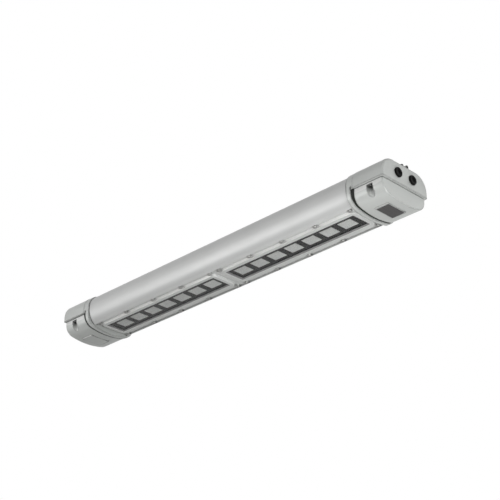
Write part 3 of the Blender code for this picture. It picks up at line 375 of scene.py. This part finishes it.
def lens_block(bm, centre_x, bottom, top):
    """A closed block whose lower face is the field of lenslets."""
    half_x, half_y = LENS_HALF
    count_x = round(2 * half_x / LENSLET_PITCH) * LENSLET_STEPS
    count_y = round(2 * half_y / LENSLET_PITCH) * LENSLET_STEPS
    rows = []
    for j in range(count_y + 1):
        row = []
        for i in range(count_x + 1):
            edge = i in (0, count_x) or j in (0, count_y)
            swell_x = abs(math.sin(math.pi * i / LENSLET_STEPS))
            swell_y = abs(math.sin(math.pi * j / LENSLET_STEPS))
            height = bottom + (0 if edge else LENSLET_DEPTH * (1 - swell_x * swell_y))
            x = centre_x - half_x + 2 * half_x * i / count_x
            y = -half_y + 2 * half_y * j / count_y
            row.append(bm.verts.new((x, y, height)))
        rows.append(row)
    for j in range(count_y):
        for i in range(count_x):
            bm.faces.new((rows[j][i], rows[j][i + 1], rows[j + 1][i + 1], rows[j + 1][i]))
    rim = rows[0] + [row[-1] for row in rows[1:]] + rows[-1][-2::-1] + [row[0] for row in rows[-2:0:-1]]
    raised = [bm.verts.new((v.co.x, v.co.y, top)) for v in rim]
    skin_into(bm, [rim, raised])
    bm.faces.new(raised)


def strip_into(bm, low, high):
    """The floor, the two walls and the lens blocks of one strip, within the CAD strip's box."""
    floor_top = low.z + STRIP_FLOOR_TOP
    box_into(bm, (low.x, low.y, low.z + STRIP_FLOOR_BOTTOM), (high.x, high.y, floor_top))
    for y in (low.y, high.y - STRIP_WALL):
        box_into(bm, (low.x, y, floor_top + STRIP_WALL_GAP), (high.x, y + STRIP_WALL, high.z))
    middle = (low.x + high.x) / 2
    for number in range(LENS_COUNT):
        centre_x = middle + (number - (LENS_COUNT - 1) / 2) * LENS_PITCH
        lens_block(bm, centre_x, low.z, low.z + LENS_HEIGHT)


lens_finish = new_finish("lens_finish", LENS_GREY)
mottle(lens_finish, LENS_DARK, cells=420, detail=2, start=0.42, full=0.62, amount=0.75)
uneven_gloss(lens_finish, cells=500, detail=1, smoothest=0.12, roughest=0.4)
relief(lens_finish, cells=1600, detail=1, depth=0.00002)
for side in ("right", "left"):
    bm = bmesh.new()
    strip_into(bm, *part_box("optic_strip_" + side))
    strip = piece_from(bm, "lens_strip_" + side, lens_finish, LENS_SMOOTH_LIMIT)
    hang(strip, "luminaire", "lens_plastic", "optic_strip_" + side)


# Black masks
# A thin matt black plastic sheet covers each lens strip from below, with one punched hole for
# each lens block, so that the gaps between the lenses read black.
MASK_BLACK = (0.011, 0.011, 0.0115)
MASK_GREY = (0.02, 0.02, 0.02)
MASK_EDGE = 0.0002

mask_finish = new_finish("mask_finish", MASK_BLACK, roughness=0.5, specular=0.02)
mottle(mask_finish, MASK_GREY, cells=160, detail=3, start=0.45, full=0.65, amount=0.6)
relief(mask_finish, cells=1300, detail=1, depth=0.00002)
for side in ("right", "left"):
    dressed("led_bezel_" + side, "luminaire", mask_finish, MASK_EDGE, segments=1)


# Window gaskets
# One continuous moulded section of dark grey silicone is stretched round the edge of each glass,
# and its lip shows as a dark band inside the frame.
SILICONE_GREY = (0.2, 0.2, 0.2)
SILICONE_BLOOM = (0.26, 0.26, 0.257)
GASKET_EDGE = 0.0002

silicone = new_finish("silicone", SILICONE_GREY, roughness=0.55, specular=0.25)
mottle(silicone, SILICONE_BLOOM, cells=80, detail=3, start=0.4, full=0.65, amount=0.6)
relief(silicone, cells=900, detail=2, depth=0.000015)
for side in ("right", "left"):
    dressed("window_gasket_" + side, "luminaire", silicone, GASKET_EDGE, segments=1)


# Window glass
# A flat plate of clear toughened glass, ground along its edges and held in its gasket.
GLASS_CLEAR = (0.97, 0.98, 0.975)
GLASS_IOR = 1.4
GLASS_EDGE = 0.0004

window_glass = new_finish("window_glass", GLASS_CLEAR, roughness=0, specular=0.02)
socket(window_glass, "IOR").default_value = GLASS_IOR
socket(window_glass, "Transmission Weight").default_value = 1
relief(window_glass, cells=12, detail=1, depth=0.00003)
for side in ("right", "left"):
    dressed("window_glass_" + side, "luminaire", window_glass, GLASS_EDGE)


# Window frames
# Each frame is one aluminium casting with a raised rim round the glass and a shallow pocket for
# each screw head. It is powder coated in a lighter grey than the housings, which stands for the
# stronger light on it, and screwed up into the body's lips. The long walls of its rim are painted
# lighter, as painted light.
CAST_GREY = (0.53, 0.545, 0.53)
# A lighter copy of the housings' grey, standing for the stronger light on the frames
LIT_FRAME_GREY = (0.64, 0.65, 0.64)
# Colour of the painted highlight along the frame's edges
FRAME_HIGHLIGHT = (0.9, 0.9, 0.88)
# Colour of the painted light on the long walls of the frame's rim
WALL_HIGHLIGHT = (0.82, 0.82, 0.8)
FRAME_EDGE = 0.0006
CAST_PEEL = 520
CAST_PEEL_DEPTH = 0.00003


def painted_side_light(finish, colour, start, full, amount):
    """Painted light: lays a colour over the faces that look straight to either side of the light, as
    the lamplight on them.
    """
    coordinates = add_node(finish, "TexCoord")
    axes = add_node(finish, "SeparateXYZ")
    across = add_node(finish, "Math", operation="ABSOLUTE")
    wire(finish, coordinates.outputs["Normal"], axes.inputs["Vector"])
    wire(finish, axes.outputs["Y"], across.inputs[0])
    tint(finish, eased(finish, across.outputs["Value"], start, full, last=amount), colour)


frame_coat = powder_coat("frame_coat", LIT_FRAME_GREY, CAST_GREY, CAST_PEEL, CAST_PEEL_DEPTH)
# Painted shade in the frame's groove round the rim
painted_recess_shade(frame_coat, RECESS_SHADE, reach=0.01, start=0.8, full=0.42, amount=0.7)
# Painted highlight along the frame's edges and rim
painted_edge_light(frame_coat, FRAME_HIGHLIGHT, width=0.0022, full=0.95, amount=1)
# Painted light on the long walls of the frame's rim
painted_side_light(frame_coat, WALL_HIGHLIGHT, start=0.86, full=0.93, amount=1)
for side in ("right", "left"):
    dressed("window_frame_" + side, "luminaire", frame_coat, FRAME_EDGE)


# Frame screws
# Twenty stainless cap screws with a hexagon socket hold the frames up against the body. Each has
# a chamfered head and bears on the flange inside its pocket.
STEEL = (0.6, 0.6, 0.59)
STEEL_DULL = (0.45, 0.45, 0.44)
SCREWS_PER_FRAME = 10
SCREW_SIDES = 36
FRAME_SCREW = {
    "head_radius": 0.0064, "head_height": 0.0065, "shank_radius": 0.0038,
    "key_radius": 0.0034, "key_depth": 0.0035,
}
# Shares of the head's height, of its chamfer, of the shank's radius and of the key socket's sizes
HEAD_CHAMFER_SHARE = 0.12
SEAT_CHAMFER_SHARE = 0.5
TIP_CHAMFER_SHARE = 0.3
TIP_RADIUS_SHARE = 0.8
KEY_MOUTH_SHARE = 1.12
KEY_CHAMFER_SHARE = 0.4
KEY_POINT_RADIUS_SHARE = 0.2
KEY_POINT_DEPTH_SHARE = 1.2


def ring_radius(radius, shape, angle):
    """The radius at an angle of a circle, or of a hexagon with its corners at that radius."""
    if shape == "round":
        return radius
    return radius * math.cos(math.pi / 6) / math.cos(angle % (math.pi / 3) - math.pi / 6)


def turned(bm, centre, profile, sides, axis="Z"):
    """Turns a profile of (radius, height, shape) round an axis, closed at both ends."""
    loops = []
    for radius, height, shape in profile:
        loop = []
        for n in range(sides):
            angle = 2 * math.pi * n / sides
            reach = ring_radius(radius, shape, angle)
            a, b = reach * math.cos(angle), reach * math.sin(angle)
            point = (a, b, height) if axis == "Z" else (height, a, b)
            loop.append(bm.verts.new(Vector(centre) + Vector(point)))
        loops.append(loop)
    skin_into(bm, loops)
    bm.faces.new(loops[0][::-1])
    bm.faces.new(loops[-1])


def cap_screw(name, node, body, finish, head_radius, head_height, shank_radius, key_radius, key_depth):
    """A cap screw that points its head down, made in the box of the CAD screw it stands for."""
    low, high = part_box(node)
    centre = ((low.x + high.x) / 2, (low.y + high.y) / 2, 0)
    face = low.z
    seat = face + head_height
    chamfer = head_height * HEAD_CHAMFER_SHARE
    under_chamfer = chamfer * SEAT_CHAMFER_SHARE
    profile = [
        (shank_radius * TIP_RADIUS_SHARE, high.z, "round"),
        (shank_radius, high.z - shank_radius * TIP_CHAMFER_SHARE, "round"),
        (shank_radius, seat, "round"),
        (head_radius - under_chamfer, seat, "round"),
        (head_radius, seat - under_chamfer, "round"),
        (head_radius, face + chamfer, "round"),
        (head_radius - chamfer, face, "round"),
        (key_radius * KEY_MOUTH_SHARE, face, "round"),
        (key_radius, face + chamfer * KEY_CHAMFER_SHARE, "hexagon"),
        (key_radius, face + key_depth, "hexagon"),
        (key_radius * KEY_POINT_RADIUS_SHARE, face + key_depth * KEY_POINT_DEPTH_SHARE, "round"),
    ]
    bm = bmesh.new()
    turned(bm, centre, profile, SCREW_SIDES)
    hang(piece_from(bm, name, finish), body, "stainless", node)


stainless = new_finish("stainless", STEEL, metallic=1)
mottle(stainless, STEEL_DULL, cells=600, detail=3, start=0.4, full=0.65, amount=0.6)
uneven_gloss(stainless, cells=900, detail=2, smoothest=0.22, roughest=0.42)
for side in ("right", "left"):
    for number in range(1, SCREWS_PER_FRAME + 1):
        place = f"{side}_{number:02d}"
        cap_screw("cap_screw_" + place, "frame_screw_" + place, "luminaire", stainless, **FRAME_SCREW)


# Terminal housings
# Each end is one aluminium casting: a collar that grips the body, a partition, and beyond it a
# deep terminal space that is open downwards. Its outside is powder coated light grey.
CAST_GREY_SHADE = (0.46, 0.475, 0.46)
# Dark colour of the painted reflection along the rounded edges of the housings and covers
PAINTED_EDGE_SHADE = (0.15, 0.155, 0.15)
HOUSING_EDGE = 0.0007

cast_coat = powder_coat("cast_coat", CAST_GREY, CAST_GREY_SHADE, CAST_PEEL, CAST_PEEL_DEPTH)
# Painted shade under the housing's rim and in its hollows
painted_recess_shade(cast_coat, RECESS_SHADE, reach=0.006, start=0.5, full=0.2, amount=0.9)
# Painted dark reflection along the housing's edges
painted_edge_light(cast_coat, PAINTED_EDGE_SHADE, width=0.006, full=0.94, amount=0.9)
for side in ("right", "left"):
    dressed("terminal_housing_" + side, "luminaire", cast_coat, HOUSING_EDGE)


# Line bushings
# A black plastic bushing is screwed through each partition and potted round the supply leads,
# so that no flame can pass between the terminal space and the body.
BUSHING_BLACK = (0.02, 0.02, 0.021)
BUSHING_DUST = (0.045, 0.045, 0.047)
BUSHING_EDGE = 0.0003

bushing_plastic = new_finish("bushing_plastic", BUSHING_BLACK, roughness=0.42)
mottle(bushing_plastic, BUSHING_DUST, cells=500, detail=3, start=0.45, full=0.7, amount=0.5)
relief(bushing_plastic, cells=1200, detail=2, depth=0.00002)
for side in ("right", "left"):
    dressed("line_bushing_" + side, "luminaire", bushing_plastic, BUSHING_EDGE, segments=1)


# Terminal blocks
# A five-way block of grey polyamide hangs from the roof of each terminal space. Every way has a
# pair of clamp screws sunk in its own wells, which are reached when the cover is down.
BLOCK_GREY = (0.33, 0.34, 0.35)
BLOCK_GREY_SHADE = (0.26, 0.27, 0.28)
BLOCK_EDGE = 0.0003

block_plastic = new_finish("block_plastic", BLOCK_GREY, roughness=0.48)
mottle(block_plastic, BLOCK_GREY_SHADE, cells=260, detail=3, start=0.45, full=0.7, amount=0.4)
relief(block_plastic, cells=1400, detail=2, depth=0.000015)
for side in ("right", "left"):
    dressed("terminal_block_" + side, "luminaire", block_plastic, BLOCK_EDGE, segments=1)


# Blanking plugs
# Two black glass-filled plastic plugs close the cable entries of the right-hand end. Each has a
# ribbed rim for the fingers and a hexagon recess for the key.
PLUG_BLACK = (0.003, 0.003, 0.003)
PLUG_DUST = (0.007, 0.0075, 0.007)
PLUG_RIBS = 30
PLUG_RIB_DEPTH = 0.0004
PLUG_SIDES = PLUG_RIBS * 4
BARREL_RADIUS = 0.0118
BARREL_TIP_RADIUS = 0.0108
BARREL_LEAD_IN = 0.0012
RIM_THICKNESS = 0.0035
RIM_ROUNDING = ((0, 0.0012), (0.0005, 0.0004), (0.0014, 0))
DISH_RADIUS = 0.0102
DISH_FLOOR_RADIUS = 0.0094
DISH_DEPTH = 0.0009
PLUG_KEY_MOUTH = 0.0078
PLUG_KEY_RADIUS = 0.0069
PLUG_KEY_CHAMFER_DEPTH = 0.0013
PLUG_KEY_DEPTH = 0.003
ON_RIM = 0.000001


def plug_profile(inner_end, face, radius):
    """The plug from its inner end to the key recess in its face, along the entry's axis."""
    back = face - RIM_THICKNESS
    rim = [(radius - inset, face - setback, "round") for inset, setback in RIM_ROUNDING]
    return [
        (BARREL_TIP_RADIUS, inner_end, "round"),
        (BARREL_RADIUS, inner_end + BARREL_LEAD_IN, "round"),
        (BARREL_RADIUS, back, "round"),
        (radius, back, "round"),
        *rim,
        (DISH_RADIUS, face, "round"),
        (DISH_FLOOR_RADIUS, face - DISH_DEPTH, "round"),
        (PLUG_KEY_MOUTH, face - DISH_DEPTH, "round"),
        (PLUG_KEY_RADIUS, face - PLUG_KEY_CHAMFER_DEPTH, "hexagon"),
        (PLUG_KEY_RADIUS, face - PLUG_KEY_DEPTH, "hexagon"),
    ]


def cut_ribs(bm, centre, radius, face):
    """Draws the outermost points of the rim inwards between the ribs."""
    for vert in bm.verts:
        y, z = vert.co.y - centre[1], vert.co.z - centre[2]
        on_rim = abs(math.hypot(y, z) - radius) < ON_RIM
        if on_rim and face - RIM_THICKNESS + ON_RIM < vert.co.x:
            groove = PLUG_RIB_DEPTH * (0.5 - 0.5 * math.cos(PLUG_RIBS * math.atan2(z, y)))
            vert.co.y -= y / radius * groove
            vert.co.z -= z / radius * groove


plug_plastic = new_finish("plug_plastic", PLUG_BLACK, roughness=0.36, specular=0.07)
mottle(plug_plastic, PLUG_DUST, cells=420, detail=3, start=0.5, full=0.72, amount=0.6)
relief(plug_plastic, cells=1100, detail=2, depth=0.00003)
for letter in ("a", "b"):
    node = "blanking_plug_" + letter
    low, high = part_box(node)
    centre = (0, (low.y + high.y) / 2, (low.z + high.z) / 2)
    radius = (high.y - low.y) / 2
    bm = bmesh.new()
    turned(bm, centre, plug_profile(low.x, high.x, radius), PLUG_SIDES, "X")
    cut_ribs(bm, centre, radius, high.x)
    hang(piece_from(bm, "entry_plug_" + letter, plug_plastic), "plug_" + letter, "black_plastic", node)


# Plug washers and cover seals
# Moulded black elastomer: a flat washer under each plug, and a seal for each cover with a flat
# strip round its mouth and a thick end that shows as a dark crescent next to the collar. The black of
# that thick end is partly painted shade, filling the shaded gap there.
ELASTOMER_BLACK = (0.016, 0.018, 0.016)
ELASTOMER_BLOOM = (0.034, 0.038, 0.034)
SEAL_EDGE = 0.0002

elastomer = new_finish("elastomer", ELASTOMER_BLACK, roughness=0.62, specular=0.15)
mottle(elastomer, ELASTOMER_BLOOM, cells=90, detail=3, start=0.4, full=0.65, amount=0.6)
relief(elastomer, cells=800, detail=2, depth=0.00003)
# The seals' thick black ends stand partly for the shade in the gap next to the collar
for name in ("plug_washer_a", "plug_washer_b", "cover_seal_right", "cover_seal_left"):
    dressed(name, "luminaire", elastomer, SEAL_EDGE, segments=1)


# Terminal covers
# Each cover is a shallow cast bowl with a screw pocket on both sides, powder coated like the
# housing above it. It drops straight down once its two captive screws are undone.
# Colour of the painted shade in the cover's screw pockets and deep recesses
POCKET_SHADE = (0.03, 0.031, 0.03)
COVER_EDGE = 0.0008

cover_coat = powder_coat("cover_coat", CAST_GREY, CAST_GREY_SHADE, CAST_PEEL, CAST_PEEL_DEPTH)
# Painted shade: darkens the screw pockets and other deep recesses of the cover
painted_recess_shade(cover_coat, POCKET_SHADE, reach=0.03, start=0.58, full=0.28, amount=0.97)
# Painted dark reflection along the cover's edges
painted_edge_light(cover_coat, PAINTED_EDGE_SHADE, width=0.005, full=0.94, amount=0.9)
# Painted light on the cover's side walls
painted_side_light(cover_coat, PAINTED_HIGHLIGHT, start=0.985, full=0.995, amount=0.7)
for side in ("right", "left"):
    dressed("terminal_cover_" + side, "cover_" + side, cover_coat, COVER_EDGE, segments=3)


# Captive cover screws
# Stainless cap screws that stay in the cover's pockets when they are undone. Their steel is a darker
# copy of the frame screws' stainless, as painted shade for the dark pockets they sit in.
SHADED_STEEL = (0.12, 0.12, 0.117)
STEEL_SHADE_MOTTLE = (0.04, 0.04, 0.039)
COVER_SCREW = {
    "head_radius": 0.005, "head_height": 0.006, "shank_radius": 0.0029,
    "key_radius": 0.0028, "key_depth": 0.003,
}

# A darker copy of the stainless, painted shade for the screws in the dark pockets
shaded_captive_steel = new_finish("shaded_captive_steel", SHADED_STEEL, metallic=1)
mottle(shaded_captive_steel, STEEL_SHADE_MOTTLE, cells=500, detail=3, start=0.4, full=0.65, amount=0.7)
uneven_gloss(shaded_captive_steel, cells=900, detail=2, smoothest=0.24, roughest=0.44)
for side in ("right", "left"):
    for letter in ("a", "b"):
        place = f"{side}_{letter}"
        cap_screw(
            "cover_screw_head_" + place, "captive_screw_" + place, "cover_screw_" + place,
            shaded_captive_steel, **COVER_SCREW,
        )


# Rating plate
# A dark grey anodised plate on the raised pad of the right-hand cover, held by four small drive
# pins, with a fine raised border. It is left bare.
PLATE_GREY = (0.095, 0.093, 0.093)
PLATE_STREAK = (0.065, 0.064, 0.064)
PLATE_STREAK_LINES = (900, 30, 900)
PLATE_BRUSH_LINES = (1200, 40, 1200)
CORNER_STEPS = 4
PLATE_CORNER = 0.0015
PLATE_CHAMFER = 0.0003
BORDER_WIDTH = 0.001
BORDER_STEP = 0.0002
FIELD_INSET = 0.0024
FIELD_CORNER = 0.0008
PIN_INSET = 0.0042
PIN_SIDES = 16
PIN_PROFILE = ((0.0012, 0.0005, "round"), (0.0012, 0.0001, "round"), (0.0007, 0, "round"))


def plate_loop(bm, centre, half, inset, height, corner):
    """The plate's outline with rounded corners, drawn in by an inset."""
    loop = []
    for turn, (sx, sy) in enumerate(((1, 1), (-1, 1), (-1, -1), (1, -1))):
        for step in range(CORNER_STEPS + 1):
            angle = math.pi / 2 * (turn + step / CORNER_STEPS)
            x = centre.x + sx * (half.x - inset - corner) + corner * math.cos(angle)
            y = centre.y + sy * (half.y - inset - corner) + corner * math.sin(angle)
            loop.append(bm.verts.new((x, y, height)))
    return loop


def plate_into(bm, low, high):
    """The bare plate, facing down, with a field a step above its raised border, and its pins."""
    centre, half = (low + high) / 2, (high - low) / 2
    border_corner = PLATE_CORNER - PLATE_CHAMFER - BORDER_STEP
    outlines = (
        (0, high.z, PLATE_CORNER),
        (0, low.z + PLATE_CHAMFER, PLATE_CORNER),
        (PLATE_CHAMFER, low.z, PLATE_CORNER - BORDER_STEP),
        (PLATE_CHAMFER + BORDER_WIDTH, low.z, border_corner),
        (PLATE_CHAMFER + BORDER_WIDTH + BORDER_STEP, low.z + BORDER_STEP, border_corner),
        (FIELD_INSET, low.z + BORDER_STEP, FIELD_CORNER),
    )
    loops = [plate_loop(bm, centre, half, *outline) for outline in outlines]
    skin_into(bm, loops)
    bm.faces.new(loops[0])
    bm.faces.new(loops[-1])
    for sx in (-1, 1):
        for sy in (-1, 1):
            pin = (centre.x + sx * (half.x - PIN_INSET), centre.y + sy * (half.y - PIN_INSET), low.z)
            turned(bm, pin, PIN_PROFILE, PIN_SIDES)


plate_skin = new_finish("plate_skin", PLATE_GREY, roughness=0.42, metallic=0.35)
mottle(
    plate_skin, PLATE_STREAK,
    cells=1, detail=3, start=0.35, full=0.65, amount=0.6, stretch=PLATE_STREAK_LINES,
)
relief(plate_skin, cells=1, detail=2, depth=0.00001, stretch=PLATE_BRUSH_LINES)
bm = bmesh.new()
plate_into(bm, *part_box("rating_plate"))
hang(piece_from(bm, "bare_plate", plate_skin), "cover_right", "plate_grey", "rating_plate")


# Earth terminal
# A plated clamp strip with a looped end is held on the top edge of the right-hand housing by
# one screw, which takes the outer earth conductor.
CLAMP_GREY = (0.34, 0.34, 0.33)
CLAMP_TARNISH = (0.14, 0.14, 0.14)
EARTH_SCREW_BLACK = (0.07, 0.07, 0.07)
EARTH_SCREW_TARNISH = (0.03, 0.03, 0.03)

earth_metal = plated_steel("earth_metal", CLAMP_GREY, CLAMP_TARNISH)
earth_black = plated_steel("earth_black", EARTH_SCREW_BLACK, EARTH_SCREW_TARNISH)
dressed("earth_clamp", "luminaire", earth_metal, PLATED_EDGE)
dressed("earth_screw", "earth_terminal_screw", earth_black, PLATED_EDGE)


# Floor, room and lamps
# A pale floor far below the light, which hangs clear of it, in a room with a low even light and
# five soft lamps. The room shows white and the floor pale only to the camera and in metal and
# glass, and the floor's paleness doesn't light the lenses behind the glass.
WHITE = (1, 1, 1, 1)
FLOOR_PAINT = (0.82, 0.82, 0.81)
FLOOR_SCUFF = (0.78, 0.78, 0.77)
FLOOR_GLOW = (1, 1, 0.99, 1)
FLOOR_LEVEL = -4.2
FLOOR_HALF_WIDTH = 14
FLOOR_SQUARES = 8
FLOOR_PALENESS = 0.5
FLOOR_REFLECTION = 0.08
ROOM_LIGHT = 0.22
ROOM_WHITENESS = 1

floor_paint = new_finish("floor_paint", FLOOR_PAINT, roughness=0.7)
mottle(floor_paint, FLOOR_SCUFF, cells=3, detail=3, start=0.4, full=0.7, amount=0.3)
socket(floor_paint, "Emission Color").default_value = FLOOR_GLOW
ray = add_node(floor_paint, "LightPath").outputs
reflected = combined(floor_paint, "MAXIMUM", ray["Is Glossy Ray"], ray["Is Transmission Ray"])
unscattered = eased(
    floor_paint, ray["Diffuse Depth"], start=0, full=0.5, first=FLOOR_REFLECTION, last=0)
in_metal = combined(floor_paint, "MULTIPLY", reflected, unscattered)
in_view = eased(floor_paint, ray["Is Camera Ray"], start=0, full=1, last=FLOOR_PALENESS)
paleness = combined(floor_paint, "MAXIMUM", in_view, in_metal)
wire(floor_paint, paleness, socket(floor_paint, "Emission Strength"))
bm = bmesh.new()
bmesh.ops.create_grid(bm, x_segments=FLOOR_SQUARES, y_segments=FLOOR_SQUARES, size=FLOOR_HALF_WIDTH)
floor = piece_from(bm, "floor", floor_paint)
floor.location.z = FLOOR_LEVEL
floor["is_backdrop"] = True

scene = bpy.context.scene
world = bpy.data.worlds.new("white_room")
world.use_nodes = True
scene.world = world
dim_room = world.node_tree.nodes["Background"]
white_room = add_node(world, "Background")
for room, strength in ((dim_room, ROOM_LIGHT), (white_room, ROOM_WHITENESS)):
    room.inputs["Color"].default_value = WHITE
    room.inputs["Strength"].default_value = strength
ray = add_node(world, "LightPath").outputs
reflected = combined(world, "MAXIMUM", ray["Is Glossy Ray"], ray["Is Transmission Ray"])
seen = combined(world, "MAXIMUM", ray["Is Camera Ray"], reflected)
choice = add_node(world, "MixShader")
wire(world, seen, choice.inputs[0])
wire(world, dim_room.outputs[0], choice.inputs[1])
wire(world, white_room.outputs[0], choice.inputs[2])
wire(world, choice.outputs[0], world.node_tree.nodes["World Output"].inputs["Surface"])


def soft_lamp(name, place, facing_x, size, power, spread=180):
    """A rectangular soft lamp that faces a point on the long axis of the hanging light."""
    data = bpy.data.lights.new(name, "AREA")
    data.shape = "RECTANGLE"
    data.size, data.size_y = size
    data.energy = power
    data.spread = math.radians(spread)
    lamp = bpy.data.objects.new(name, data)
    scene.collection.objects.link(lamp)
    lamp.location = place
    lamp.rotation_mode = "QUATERNION"
    lamp.rotation_quaternion = (Vector(place) - Vector((facing_x, 0, 0))).to_track_quat("Z", "Y")


soft_lamp("side_softbox", place=(-2.1, -2.65, 0.05), facing_x=0, size=(1.6, 2.2), power=27)
soft_lamp("lower_side_softbox", place=(-1.25, -2.35, -0.78), facing_x=0, size=(1.4, 0.3), power=9)
soft_lamp("low_softbox", place=(-3.1, -0.3, -3.75), facing_x=0, size=(1.1, 1.1), power=9.5)
soft_lamp("front_softbox", place=(1.15, -0.3, -1.5), facing_x=0.5, size=(0.8, 0.8), power=2, spread=75)
soft_lamp("end_softbox", place=(2.75, -0.85, -1.6), facing_x=0, size=(1.8, 1.8), power=55)


# Camera
# It looks up at the windows and the right-hand end from below, with a long lens, as the
# photograph does.
CAMERA_PLACE = (2.36142, -2.26675, -1.69163)
CAMERA_BACK = (0.63068, -0.62914, -0.45432)
CAMERA_LENS = 91.61
SENSOR_WIDTH = 36

camera = bpy.data.objects.new("camera", bpy.data.cameras.new("camera"))
scene.collection.objects.link(camera)
camera.data.sensor_width = SENSOR_WIDTH
camera.data.lens = CAMERA_LENS
camera.location = CAMERA_PLACE
camera.rotation_mode = "QUATERNION"
camera.rotation_quaternion = (-Vector(CAMERA_BACK)).to_track_quat("-Z", "Y")
scene.camera = camera
scene.view_settings.view_transform = "Standard"


# Size of the light
# The box of the finished pieces, in metres.
low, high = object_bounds()
